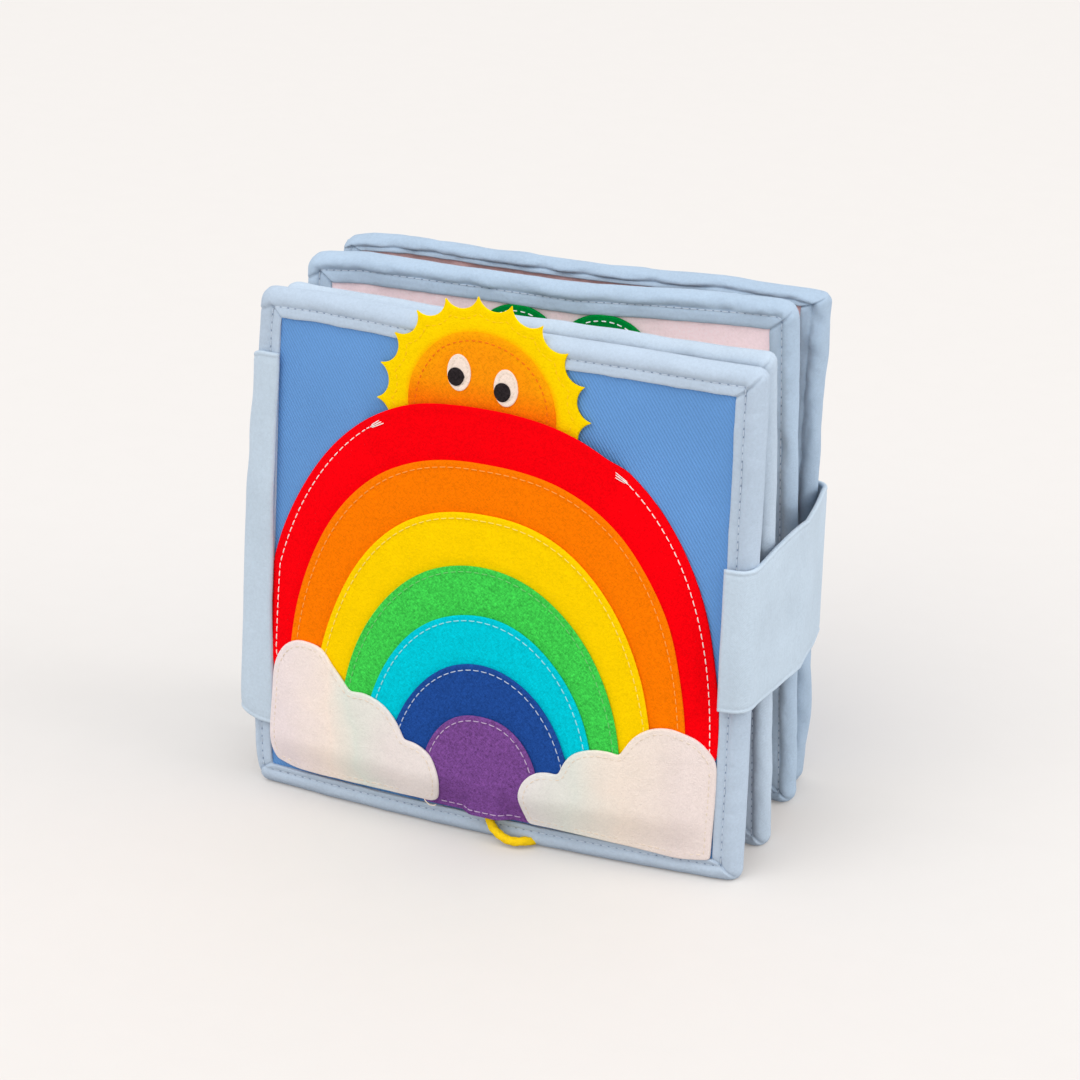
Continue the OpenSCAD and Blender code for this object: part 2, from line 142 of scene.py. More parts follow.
def placed(place, p):
    x, y, yaw, lean = place
    yaw, lean = math.radians(yaw), math.radians(lean)
    dy, dz = p[:, 1] - EDGE_R, p[:, 2] - EDGE_R
    py = dy * math.cos(lean) + dz * math.sin(lean) + EDGE_R
    pz = -dy * math.sin(lean) + dz * math.cos(lean) + EDGE_R
    out = np.empty_like(p)
    out[:, 0] = x + p[:, 0] * math.cos(yaw) - py * math.sin(yaw)
    out[:, 1] = y + p[:, 0] * math.sin(yaw) + py * math.cos(yaw)
    out[:, 2] = pz - PRESS_FLAT
    return out


def corner_shift(p, corners):
    """Moves a leaf's points with its corners: bottom left, bottom right, top left, top right."""
    u, v = np.clip(p[:, 0] / LEAF, 0, 1), np.clip(p[:, 2] / LEAF, 0, 1)
    weights = ((1 - u) * (1 - v), u * (1 - v), (1 - u) * v, u * v)
    return sum(w[:, None] * np.array(c) for w, c in zip(weights, corners))


def top_lift(p, table):
    """Raises or lowers a leaf's top edge: pairs of a place along it and a lift."""
    return np.interp(p[:, 0], *zip(*table)) * smooth((p[:, 2] - 125) / 70)


BOW_R = (LEAF ** 2 / 4 + FRONT_BOW ** 2) / (2 * FRONT_BOW)
BOW_AXIS = np.array([LEAF / 2, BOW_R - FRONT_BOW])
BOW_ANGLE = math.degrees(math.asin((LEAF / 2 - EDGE_R) / (BOW_R - EDGE_R)))


def turned(p, degrees):
    a = math.radians(degrees)
    p = np.asarray(p, float)
    return np.stack([p[..., 0] * math.cos(a) - p[..., 1] * math.sin(a),
                     p[..., 0] * math.sin(a) + p[..., 1] * math.cos(a)], -1)


def bow_at(x):
    """Y of the bowed front face."""
    return BOW_AXIS[1] - np.sqrt(BOW_R ** 2 - (x - BOW_AXIS[0]) ** 2)


def on_side(side, p):
    """Plan points carried on the front cover's bound side: -1 is the left one, 1 the right one."""
    middle = BOW_AXIS + (BOW_R - EDGE_R) * turned((0, -1), side * BOW_ANGLE)
    edge = np.array([EDGE_R if side < 0 else LEAF - EDGE_R, EDGE_R])
    return middle + turned(np.asarray(p, float) - edge, side * BOW_ANGLE)


FRONT_CORNERS = ((-0.5, 0, 0), (0.6, 0, 0), (-0.5, 0, 0), (1.0, 0, 0))
FRONT_TOP = ((0, 0.5), (25, 2.0), (50, 1.9), (80, 1.0), (115, 0.3), (150, 0), (178, -0.9), (200, -1.4))
# Left edge's bulge at foot and top, how soon it starts from either corner, and how far in it reaches
LEFT_BULGE_FOOT, LEFT_BULGE_TOP = 4.6, 2.2
PULL_FOOT, PULL_TOP, BULGE_REACH = 11, 12, 22
# Slant of the panel's left side: amount at the foot, where it is full, where it starts to fade, and its reach
LEFT_SLANT, SLANT_FULL, SLANT_FROM, SLANT_REACH = 3.2, 7, 9, 40
# How far the bow goes on beyond the sides
BOW_OVER = 4


def front_shape(p, out):
    """The front cover bows towards the viewer, its left edge bulges between the pulled-in corners, and the
    panel's left side slants outwards at the foot."""
    x, z = np.clip(p[:, 0], 0, None), np.clip(p[:, 2], 0, LEAF)
    rise = z / LEAF
    bulge = (1 - np.exp(-z / PULL_FOOT)) * (1 - np.exp((z - LEAF) / PULL_TOP)) * np.exp(-x / BULGE_REACH)
    bulge *= LEFT_BULGE_FOOT + (LEFT_BULGE_TOP - LEFT_BULGE_FOOT) * rise
    slant = LEFT_SLANT * (1 - rise) * smooth(x / SLANT_FULL)
    slant *= np.exp(-np.clip(x - SLANT_FROM, 0, None) / SLANT_REACH)
    out[:, 0] -= bulge + slant
    out[:, 1] += bow_at(np.clip(p[:, 0], -BOW_OVER, LEAF + BOW_OVER))


SECOND_CORNERS = ((0, 0, 0), (0, 0, 0), (0, 0, 0), (-1.9, 0, 0))
SECOND_TOP = ((0, -2.6), (20, -3.1), (65, -3.5), (110, -1.8), (180, -1.5), (200, -0.4))


def second_shape(p, out):
    out[:, 1] += 0.8 * noise(p[:, 0] / 60, p[:, 2] / 60, 11)


THIRD_CORNERS = ((0, 0, 0), (3.2, 0, 0), (0.9, 0, 0), (-3.6, 0, 0))
THIRD_TOP = (
    (0, -1.5), (8, 0.2), (25, 1.8), (75, 1.0), (112, -0.1), (145, 1.9), (175, 3.0), (192, 3.2), (200, 1.6),
)


def third_shape(p, out):
    out[:, 0] += 0.7 * noise(p[:, 2] / 42, 2.5, 21) * smooth((p[:, 0] - 120) / 70)
    out[:, 1] += 1.0 * noise(p[:, 0] / 55, p[:, 2] / 55, 22)


BACK_CORNERS = ((0, 0, 0), (-0.8, 0, 0), (1.4, 0, 0), (0.2, 0, 0))
BACK_TOP = (
    (0, -2.4), (12, -0.2), (30, 0.9), (62, 0.3), (100, -0.2), (130, 0.4), (157, 1.5), (190, 0), (200, -0.8),
)


def back_shape(p, out):
    right = smooth((p[:, 0] - 110) / 80)
    out[:, 0] += right * (1.2 * noise(p[:, 2] / 26, 4.5, 31) + 2.6 * np.exp(-((p[:, 2] - 32) / 20) ** 2))
    out[:, 1] += 1.6 * noise(p[:, 0] / 48, p[:, 2] / 48, 32)


LEAVES = {
    "front_cover": (FRONT, FRONT_CORNERS, FRONT_TOP, front_shape),
    "second_leaf": (SECOND, SECOND_CORNERS, SECOND_TOP, second_shape),
    "third_leaf": (THIRD, THIRD_CORNERS, THIRD_TOP, third_shape),
    "back_cover": (BACK, BACK_CORNERS, BACK_TOP, back_shape),
}
LEAF_BODY = {
    "front_cover": "front_cover", "second_leaf": "pages", "third_leaf": "pages", "back_cover": "back_cover",
}


def on_leaf(leaf, p):
    """Points of a flat leaf, moved with its corners, top edge and soft shape, and placed in the book."""
    place, corners, top, shape = LEAVES[leaf]
    p = np.asarray(p, float)
    out = p + corner_shift(p, corners)
    shape(p, out)
    out[:, 2] += top_lift(p, top)
    return placed(place, out)


# Meshes


FLOOR_GAP = 0.12


def add_piece(name, points, faces, material, body, replaces=()):
    points = np.array(points, float)
    points[:, 2] = np.maximum(points[:, 2], FLOOR_GAP)
    mesh = bpy.data.meshes.new(name)
    mesh.from_pydata((points * MM).tolist(), [], [list(map(int, f)) for f in faces])
    bm = bmesh.new()
    bm.from_mesh(mesh)
    bmesh.ops.recalc_face_normals(bm, faces=bm.faces)
    bm.to_mesh(mesh)
    bm.free()
    mesh.polygons.foreach_set("use_smooth", [True] * len(mesh.polygons))
    mesh.materials.append(material)
    piece = bpy.data.objects.new(name, mesh)
    scene.collection.objects.link(piece)
    if body:
        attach(piece, body)
    if replaces:
        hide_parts(*replaces)
    return piece


def grid_faces(rows, columns, wrap_rows=False, wrap_columns=False, first=0):
    """Four-sided faces of a grid of points, counted row by row from first."""
    i = np.arange(rows if wrap_rows else rows - 1)[:, None]
    j = np.arange(columns if wrap_columns else columns - 1)[None, :]
    i2, j2 = (i + 1) % rows, (j + 1) % columns
    corners = (i * columns + j, i2 * columns + j, i2 * columns + j2, i * columns + j2)
    return (np.stack(np.broadcast_arrays(*corners), -1).reshape(-1, 4) + first).tolist()


def two_sided(rows, columns):
    """Faces of a closed form made of two grids, one after the other, joined round their rims."""
    half = rows * columns
    faces = grid_faces(rows, columns) + [f[::-1] for f in grid_faces(rows, columns, first=half)]
    rim = list(range(columns)) + [r * columns + columns - 1 for r in range(1, rows)]
    rim += [half - 1 - i for i in range(1, columns)] + [r * columns for r in range(rows - 2, 0, -1)]
    return faces + [(a, b, b + half, a + half) for a, b in zip(rim, rim[1:] + rim[:1])]


def resample(points, spacing, closed=True):
    """Points at even steps of about spacing along a path."""
    points = np.asarray(points, float)
    if closed:
        points = np.vstack([points, points[:1]])
    step = np.linalg.norm(np.diff(points, axis=0), axis=1)
    along = np.concatenate([[0], np.cumsum(step)])
    count = max(int(round(along[-1] / spacing)), 3)
    at = np.linspace(0, along[-1], count + 1)
    if closed:
        at = at[:-1]
    return np.stack([np.interp(at, along, points[:, k]) for k in range(points.shape[1])], -1)


def round_off(outline, passes):
    """Takes the sharpness off a closed outline's corners."""
    for _ in range(passes):
        outline = 0.5 * outline + 0.25 * (np.roll(outline, 1, 0) + np.roll(outline, -1, 0))
    return outline


def inward(outline):
    """Unit vectors that point into a closed outline that runs anticlockwise."""
    along = np.roll(outline, -1, 0) - np.roll(outline, 1, 0)
    along /= np.linalg.norm(along, axis=1)[:, None]
    return np.stack([-along[:, 1], along[:, 0]], -1)


def signed_area(outline):
    x, z = outline[:, 0], outline[:, 1]
    return 0.5 * np.sum(x * np.roll(z, -1) - np.roll(x, -1) * z)


def anticlockwise(outline):
    return outline if signed_area(outline) > 0 else outline[::-1]


def inside(points, outline):
    """Which points lie inside an outline."""
    x, z = points[:, 0][:, None], points[:, 1][:, None]
    a, b = outline, np.roll(outline, -1, 0)
    crosses = (a[:, 1] > z) != (b[:, 1] > z)
    with np.errstate(divide="ignore", invalid="ignore"):
        at = (b[:, 0] - a[:, 0]) * (z - a[:, 1]) / (b[:, 1] - a[:, 1]) + a[:, 0]
    return (np.sum(crosses & (x < at), axis=1) % 2) == 1


def nearest(points, outline):
    """Distance from each point to an outline's points."""
    found = np.empty(len(points))
    for i in range(0, len(points), 2000):
        part = points[i:i + 2000]
        found[i:i + 2000] = np.sqrt(((part[:, None, :] - outline[None]) ** 2).sum(-1)).min(1)
    return found


# Rounded edge of a cut sheet: distance inwards as a share of the thickness, and level from back to front
CUT_EDGE = ((0.22, 0.0), (0.0, 0.3), (0.02, 0.62), (0.2, 0.9), (0.5, 1.0))


def sharpness_limit(outline):
    """Share of an edge's roundness that fits at each point: less where an outline turns sharply."""
    ahead, behind = np.roll(outline, -1, 0) - outline, outline - np.roll(outline, 1, 0)
    turn = np.arctan2(behind[:, 0] * ahead[:, 1] - behind[:, 1] * ahead[:, 0], (behind * ahead).sum(1))
    radius = np.linalg.norm(ahead, axis=1) / np.maximum(turn, 1e-4)
    limit = np.clip(radius * 0.9, 0.15, 1)
    limit = np.minimum.reduce([np.roll(limit, k) for k in range(-2, 3)])
    return (limit + np.roll(limit, 1) + np.roll(limit, -1)) / 3


def felt_sheet(outline, back, front, spacing):
    """Closed sheet in (x, height, z): an outline filled with triangles, from back(x, z) to front(x, z)."""
    outline = anticlockwise(outline)
    normal = inward(outline) * sharpness_limit(outline)[:, None]
    mid = outline.mean(0)[None]
    thick = float(front(mid[:, 0], mid[:, 1])[0] - back(mid[:, 0], mid[:, 1])[0])
    rings = [outline + normal * inset * thick for inset, _ in CUT_EDGE]
    low, high = outline.min(0), outline.max(0)
    gx, gz = np.meshgrid(np.arange(low[0], high[0], spacing), np.arange(low[1], high[1], spacing * 0.866))
    gx[1::2] += spacing / 2
    inner = np.stack([gx.ravel(), gz.ravel()], -1)
    inner = inner[inside(inner, rings[-1])]
    inner = inner[nearest(inner, rings[-1]) > 0.6 * spacing]
    count, rim = len(outline), rings[-1]
    fill = [Vector(v) for v in np.vstack([rim, inner])]
    edges = [(i, (i + 1) % count) for i in range(count)]
    filled, _, triangles, origin, _, _ = delaunay_2d_cdt(fill, edges, [], 1, 1e-6)
    index = [o[0] if o else None for o in origin]
    crossed = [k for k, v in enumerate(index) if v is None]
    for n, k in enumerate(crossed):
        index[k] = count + len(inner) + n
    inner = np.vstack([inner] + [np.array(filled[k])[None] for k in crossed])
    triangles = [[index[v] for v in t] for t in triangles]
    points, faces = [], []
    for ring, (_, level) in zip(rings, CUT_EDGE):
        b, f = back(ring[:, 0], ring[:, 1]), front(ring[:, 0], ring[:, 1])
        points.append(np.stack([ring[:, 0], b + level * (f - b), ring[:, 1]], -1))
    last = (len(rings) - 1) * count
    front_first = len(rings) * count
    points.append(np.stack([inner[:, 0], front(inner[:, 0], inner[:, 1]), inner[:, 1]], -1))
    points.append(np.stack([inner[:, 0], back(inner[:, 0], inner[:, 1]), inner[:, 1]], -1))
    for r in range(len(rings) - 1):
        for i in range(count):
            j = (i + 1) % count
            faces.append((r * count + i, r * count + j, (r + 1) * count + j, (r + 1) * count + i))
    back_first = front_first + len(inner)
    for t in triangles:
        faces.append([last + v if v < count else front_first + v - count for v in t])
        faces.append([v if v < count else back_first + v - count for v in reversed(t)])
    return np.vstack(points), faces


def heights_to_leaf(points):
    """Turns heights above the pad into a leaf's own Y."""
    out = points.copy()
    out[:, 1] = TAPE_T - points[:, 1]
    return out


def closed_path(path):
    return np.vstack([path, path[:1]])


def level(height):
    return lambda x, z: np.full(np.shape(x), float(height))


def groove(x, z, seam, depth, width):
    """How far a seam presses into the felt."""
    return depth * np.exp(-(nearest(np.stack([x, z], -1), seam) / width) ** 2)


def felt_piece(name, outline, back, front, spacing, material, body, node, leaf="front_cover"):
    points, faces = felt_sheet(outline, back, front, spacing)
    return add_piece(name, on_leaf(leaf, heights_to_leaf(points)), faces, material, body, [node])


def laid_sheet(outline):
    """Works out the area of a felt piece's outline, in square metres, and keeps nothing of it."""
    abs(signed_area(outline)) * MM * MM


# Stitches


OUTWARDS = (0, -1, 0)
# Sections of one stitch: share of its length, and height for a thread of 0.3 mm radius
THREAD_RINGS = ((0.0, -0.22), (0.16, 0.1), (0.5, 0.2), (0.84, 0.1), (1.0, -0.22))
THREAD_SIDES = 6


def thread_stitches(path, up, pitch, length, radius, offset=0.0):
    """Points and faces of a row of stitches along a path of dense points, raised along up."""
    path = np.asarray(path, float)
    step = np.linalg.norm(np.diff(path, axis=0), axis=1)
    along = np.concatenate([[0], np.cumsum(step)])
    up = np.broadcast_to(np.asarray(up, float), path.shape)
    starts = np.arange(offset, along[-1] - length, pitch)

    def at(s, values):
        return np.stack([np.interp(s, along, values[:, k]) for k in range(3)], -1)

    faces = []
    angles = np.arange(THREAD_SIDES) * 2 * math.pi / THREAD_SIDES
    lift = radius / 0.3
    rings = []
    for share, height in THREAD_RINGS:
        s = starts + share * length
        centre, above = at(s, path), at(s, up)
        along_unit = at(s + 0.05, path) - at(s - 0.05, path)
        along_unit /= np.maximum(np.linalg.norm(along_unit, axis=1), 1e-9)[:, None]
        side = np.cross(along_unit, above)
        side /= np.maximum(np.linalg.norm(side, axis=1), 1e-9)[:, None]
        centre = centre + above * height * lift
        taper = radius * (0.75 if share in (0.0, 1.0) else 1.0)
        across, upward = np.cos(angles)[None, :, None], np.sin(angles)[None, :, None]
        rings.append(centre[:, None] + taper * (across * side[:, None] + upward * above[:, None]))
    block = np.stack(rings, 1).reshape(len(starts), -1, 3)
    one = grid_faces(len(THREAD_RINGS), THREAD_SIDES, wrap_columns=True)
    last = (len(THREAD_RINGS) - 1) * THREAD_SIDES
    one.append(list(range(THREAD_SIDES)))
    one.append([last + k for k in reversed(range(THREAD_SIDES))])
    size = block.shape[1]
    for n in range(len(starts)):
        faces.extend([[v + n * size for v in f] for f in one])
    return block.reshape(-1, 3), faces


def merge(parts):
    """One mesh of several: pairs of points and faces."""
    points, faces, first = [], [], 0
    for p, f in parts:
        points.append(p)
        faces.extend([[v + first for v in face] for face in f])
        first += len(p)
    return np.vstack(points), faces


def sewn(path, front, lift=0.0):
    """Lifts a path (x, z) onto a felt face."""
    x, z = path[:, 0], path[:, 1]
    return heights_to_leaf(np.stack([x, front(x, z) + lift, z], -1))


def seam_round(path, front, stitch, lift=0.0):
    """Stitches of a closed seam on a felt face; stitch is the pitch, the length and the thread's radius."""
    return thread_stitches(sewn(closed_path(path), front, lift), OUTWARDS, *stitch)


def stitch_piece(name, rows, material, body, leaf="front_cover"):
    points, faces = merge(rows)
    add_piece(name, on_leaf(leaf, points), faces, material, body)


# Materials


def linear(rgb):
    """Linear colour of a display colour from 0 to 255."""
    return [(c / 255 / 12.92) if c <= 10.3 else ((c / 255 + 0.055) / 1.055) ** 2.4 for c in rgb]


class Nodes:
    """Short way to add shader nodes and link them."""

    def __init__(self, name):
        self.material = bpy.data.materials.new(name)
        self.material.use_nodes = True
        self.tree = self.material.node_tree
        self.shader = self.tree.nodes["Principled BSDF"]

    def add(self, kind, settings=(), **inputs):
        node = self.tree.nodes.new(kind)
        for key, value in dict(settings).items():
            setattr(node, key, value)
        for key, value in inputs.items():
            numbered = key[0] == "i" and key[1:].isdigit()
            socket = node.inputs[int(key[1:])] if numbered else node.inputs[key]
            if isinstance(value, bpy.types.NodeSocket):
                self.tree.links.new(value, socket)
            else:
                socket.default_value = value
        return node

    def link(self, output, socket):
        self.tree.links.new(output, self.shader.inputs[socket])

    def place(self):
        return self.add("ShaderNodeTexCoord").outputs["Object"]

    def noise(self, scale, detail=4.0, roughness=0.6, distortion=0.0, vector=None):
        node = self.add(
            "ShaderNodeTexNoise", Scale=scale, Detail=detail, Roughness=roughness, Distortion=distortion
        )
        self.tree.links.new(vector or self.place(), node.inputs["Vector"])
        return node.outputs["Fac"]

    def maths(self, operation, a, b=0.0):
        """Result of a sum such as ADD; b isn't used by those of one value."""
        node = self.add("ShaderNodeMath", {"operation": operation}, i0=a, i1=b)
        return node.outputs[0]

    def ramp(self, fac, low, high, out_low, out_high):
        """Brings fac from low to high over into out_low to out_high."""
        node = self.add("ShaderNodeMapRange", Value=fac)
        for key, value in (("From Min", low), ("From Max", high), ("To Min", out_low), ("To Max", out_high)):
            node.inputs[key].default_value = value
        return node.outputs["Result"]

    def shade(self, colour, factor):
        """Colour times a grey factor."""
        node = self.add("ShaderNodeMix", {"data_type": "RGBA", "blend_type": "MULTIPLY"}, Factor=1.0)
        grey = self.add("ShaderNodeCombineColor", Red=factor, Green=factor, Blue=factor).outputs[0]
        if isinstance(colour, bpy.types.NodeSocket):
            self.tree.links.new(colour, node.inputs[6])
        else:
            node.inputs[6].default_value = (*colour, 1)
        self.tree.links.new(grey, node.inputs[7])
        return node.outputs[2]

    def blend(self, fac, a, b):
        node = self.add("ShaderNodeMix", {"data_type": "RGBA"}, Factor=fac)
        for socket, value in ((node.inputs[6], a), (node.inputs[7], b)):
            if isinstance(value, bpy.types.NodeSocket):
                self.tree.links.new(value, socket)
            else:
                socket.default_value = (*value, 1)
        return node.outputs[2]

    def bump(self, height, strength, distance, normal=None):
        node = self.add("ShaderNodeBump", Strength=strength, Distance=distance, Height=height)
        if normal:
            self.tree.links.new(normal, node.inputs["Normal"])
        return node.outputs["Normal"]

    def done(self, roughness, specular):
        self.shader.inputs["Roughness"].default_value = roughness
        self.shader.inputs["Specular IOR Level"].default_value = specular
        return self.material


FIBRE_TURNS = (0.7, -0.9)
FIBRE_STRETCH = (1.0, 1.6, 2.8)
FIBRE_SCALE, TUFT_SCALE, BLOTCH_SCALE = 1700, 1150, 110


def felt(name, rgb, depth=0.2, colour=None):
    """Pressed wool felt: short crossing fibres, small tufts, faint blotches and a soft uneven face."""
    n = Nodes(name)
    place = n.place()
    fibres = []
    for turn in FIBRE_TURNS:
        mapping = n.add("ShaderNodeMapping", {"vector_type": "TEXTURE"}, Vector=place)
        mapping.inputs["Rotation"].default_value = (0, turn, turn / 2)
        mapping.inputs["Scale"].default_value = FIBRE_STRETCH
        fibres.append(n.noise(FIBRE_SCALE, 3, 0.65, 0.6, mapping.outputs[0]))
    tuft = n.noise(TUFT_SCALE, 4, 0.8, 1.0)
    blotch = n.noise(BLOTCH_SCALE, 3, 0.55)
    both = n.maths("MULTIPLY", n.maths("ADD", fibres[0], fibres[1]), 0.28)
    both = n.maths("ADD", both, n.maths("MULTIPLY", tuft, 0.44))
    tone = n.ramp(both, 0.4, 0.6, 1 - depth, 1 + depth * 0.8)
    tone = n.maths("MULTIPLY", tone, n.ramp(blotch, 0.3, 0.7, 0.98, 1.02))
    n.link(n.shade(colour(n) if colour else linear(rgb), tone), "Base Color")
    n.link(n.bump(both, 0.9, 0.0009), "Normal")
    return n.done(0.95, 0.02)


COTTON_PITCH = 0.00062


def cotton(name, rgb, wrinkle=0.5):
    """Plain woven cotton: two sets of threads, slubs, faint creases."""
    n = Nodes(name)
    place = n.place()
    split = n.add("ShaderNodeSeparateXYZ", Vector=place)
    turns = 2 * math.pi / COTTON_PITCH
    across = n.maths("SINE", n.maths("MULTIPLY", split.outputs[0], turns))
    upward = n.maths("SINE", n.maths("MULTIPLY", split.outputs[2], turns))
    weave = n.maths("MULTIPLY", across, upward)
    slub = n.noise(900, 4, 0.7, 0.4)
    crease = n.noise(160, 3, 0.55, 0.8)
    cloud = n.noise(45, 2, 0.5)
    tone = n.ramp(slub, 0.3, 0.7, 0.93, 1.05)
    tone = n.maths("MULTIPLY", tone, n.ramp(cloud, 0.3, 0.7, 0.965, 1.03))
    tone = n.maths("ADD", tone, n.maths("MULTIPLY", weave, 0.018))
    n.link(n.shade(linear(rgb), tone), "Base Color")
    first = n.bump(crease, wrinkle, 0.0010)
    height = n.maths("ADD", n.maths("MULTIPLY", weave, 0.5), slub)
    n.link(n.bump(height, 0.35, 0.00025, first), "Normal")
    return n.done(0.88, 0.12)


TWILL_PITCH = 0.00115
TWILL_ANGLE = math.radians(57)


def twill(name, rgb):
    """Twill weave: fine diagonal ribs with broken threads."""
    n = Nodes(name)
    split = n.add("ShaderNodeSeparateXYZ", Vector=n.place())
    wobble = n.noise(260, 2, 0.5)
    run = n.maths(
        "ADD", n.maths("MULTIPLY", split.outputs[0], math.sin(TWILL_ANGLE)),
        n.maths("MULTIPLY", split.outputs[2], math.cos(TWILL_ANGLE)),
    )
    run = n.maths("ADD", run, n.maths("MULTIPLY", wobble, 0.0004))
    rib = n.maths("SINE", n.maths("MULTIPLY", run, 2 * math.pi / TWILL_PITCH))
    thread = n.noise(1900, 4, 0.7, 0.3)
    broad = n.noise(30, 2, 0.5)
    tone = n.maths("ADD", n.ramp(rib, -1, 1, 0.93, 1.07), n.ramp(thread, 0.3, 0.7, -0.08, 0.07))
    tone = n.maths("MULTIPLY", tone, n.ramp(broad, 0.3, 0.7, 0.96, 1.04))
    n.link(n.shade(linear(rgb), tone), "Base Color")
    height = n.maths("ADD", n.maths("MULTIPLY", rib, 0.6), thread)
    n.link(n.bump(height, 0.5, 0.0003), "Normal")
    return n.done(0.85, 0.12)


def yarn(name, rgb, twist=0.0009):
    """Spun sewing thread or cord fibre."""
    n = Nodes(name)
    ply = n.noise(3200, 3, 0.6, 1.5)
    tone = n.ramp(ply, 0.3, 0.7, 0.84, 1.08)
    n.link(n.shade(linear(rgb), tone), "Base Color")
    n.link(n.bump(ply, 0.5, twist * 0.3), "Normal")
    return n.done(0.8, 0.2)


def by_stops(n, run, stops):
    """Colour that changes along run: pairs of a place in metres and a colour."""
    colour = linear(stops[0][1])
    for (low, _), (high, rgb) in zip(stops, stops[1:]):
        colour = n.blend(n.ramp(run, low, high, 0.0, 1.0), colour, linear(rgb))
    return colour


def wander(n, scale, amount):
    """Uneven shift in metres, so that a change of colour doesn't run in a straight line."""
    return n.maths("MULTIPLY", n.maths("SUBTRACT", n.noise(scale, 2, 0.5), 0.5), amount)


def cloud_tint(stops):
    """Colour along X for the tinted cloud felt."""

    def make(n):
        split = n.add("ShaderNodeSeparateXYZ", Vector=n.place())
        return by_stops(n, n.maths("ADD", split.outputs[0], wander(n, 35, 0.03)), stops)

    return make


# Height above the sun's middle, in metres, over which the painted shade on its lower part fades out
FACE_SHADE_SPAN = (0.002, 0.011)


def ring_tint(stops, painted_shade_rgb=None):
    """Colour by the distance from the sun's middle, with a colour for the part below the middle that is
    painted shade, darker and redder by the red band.
    """

    def make(n):
        middle = on_leaf("front_cover", [(SUN_AT[0], TAPE_T - FACE_TOP, SUN_AT[1])])[0] * MM
        shift = wander(n, 60, 0.003)
        away = n.add("ShaderNodeVectorMath", {"operation": "DISTANCE"}, i0=n.place(), i1=middle.tolist())
        colour = by_stops(n, n.maths("ADD", away.outputs["Value"], shift), stops)
        if painted_shade_rgb:
            # Painted shade: the face's lower part turns darker and redder next to the red band's edge.
            height = n.maths("ADD", n.add("ShaderNodeSeparateXYZ", Vector=n.place()).outputs[2], shift)
            low, high = (middle[2] + h for h in FACE_SHADE_SPAN)
            colour = n.blend(n.ramp(height, low, high, 1.0, 0.0), colour, linear(painted_shade_rgb))
        return colour

    return make


BAND_NAMES = ("red", "orange", "yellow", "green", "cyan", "blue", "violet")
BAND_RGB = (
    (252, 2, 14), (254, 124, 2), (254, 210, 2), (66, 207, 80), (2, 202, 220), (34, 76, 152), (124, 76, 147),
)
BAND_DEPTH = (0.13, 0.16, 0.09, 0.42, 0.22, 0.34, 0.44)
THREAD_RGB = (
    (250, 240, 234), (250, 160, 66), (252, 222, 96), (112, 200, 112), (152, 222, 230), (186, 200, 222),
    (196, 172, 204),
)

# One cotton in lit and shaded copies: each leaf's binding colour holds painted light and shade, darker on the
# third leaf and the back cover, which lie in the shade of the leaves before them.
SHADED_BINDING_RGB = {
    "front_cover": (179, 194, 211), "second_leaf": (183, 198, 214), "third_leaf": (171, 190, 210),
    "back_cover": (167, 186, 206),
}
mat_shaded_binding = {leaf: cotton(f"{leaf}_shaded_binding_cotton", rgb) for leaf, rgb in SHADED_BINDING_RGB.items()}
mat_strap = cotton("strap_cotton", (188, 203, 217), 0.3)
mat_panel = twill("panel_twill", (99, 148, 206))
mat_cream = cotton("cream_cotton", (236, 228, 214))
mat_pink = cotton("pink_cotton", (255, 231, 237), 0.3)
mat_rose = cotton("rose_cotton", (214, 176, 178))
mat_tan = cotton("tan_cotton", (232, 190, 140))
mat_bands = [felt(f"{n}_felt", c, d) for n, c, d in zip(BAND_NAMES, BAND_RGB, BAND_DEPTH)]
mat_sun = felt("sun_felt", None, 0.08, ring_tint(
    ((0.0288, (253, 172, 5)), (0.0315, (254, 209, 2)), (0.035, (254, 213, 2)))))
# The face's last colour, (248, 120, 7), is painted shade on its lower part, by the red band.
mat_face = felt("face_felt", None, 0.2, ring_tint(
    ((0.006, (252, 146, 13)), (0.024, (253, 152, 11)), (0.0296, (253, 166, 7))), (248, 120, 7)))
mat_eye = felt("eye_felt", (250, 230, 216), 0.1)
mat_pupil = felt("pupil_felt", (46, 40, 42), 0.5)
mat_green = felt("bush_felt", (0, 134, 56), 0.2)
mat_left_cloud = felt("left_cloud_felt", None, 0.06, cloud_tint(
    ((-0.090, (240, 226, 226)), (-0.066, (248, 232, 220)), (-0.050, (228, 230, 220)),
     (-0.030, (238, 228, 224)))))
mat_right_cloud = felt("right_cloud_felt", None, 0.06, cloud_tint(
    ((0.020, (232, 226, 224)), (0.038, (228, 229, 220)), (0.058, (244, 229, 216)), (0.082, (238, 223, 218)))))
mat_thread = [yarn(f"{n}_thread", c) for n, c in zip(BAND_NAMES, THREAD_RGB)]
mat_white_thread = yarn("white_thread", (236, 238, 242))
mat_tape_thread = yarn("tape_thread", (206, 217, 230))
# Dark thread for the needle holes: painted shade in the holes.
mat_hole_shade_thread = yarn("needle_hole_shade", (140, 156, 180))
mat_cream_thread = yarn("cream_thread", (232, 216, 198))
mat_rust_thread = yarn("rust_thread", (238, 112, 8))
mat_gold_thread = yarn("gold_thread", (254, 204, 14))
mat_cord = yarn("cord_yarn", (255, 212, 14), 0.002)
mat_patch = cotton("patch_loops", (150, 172, 200))


# Camera and pull cord


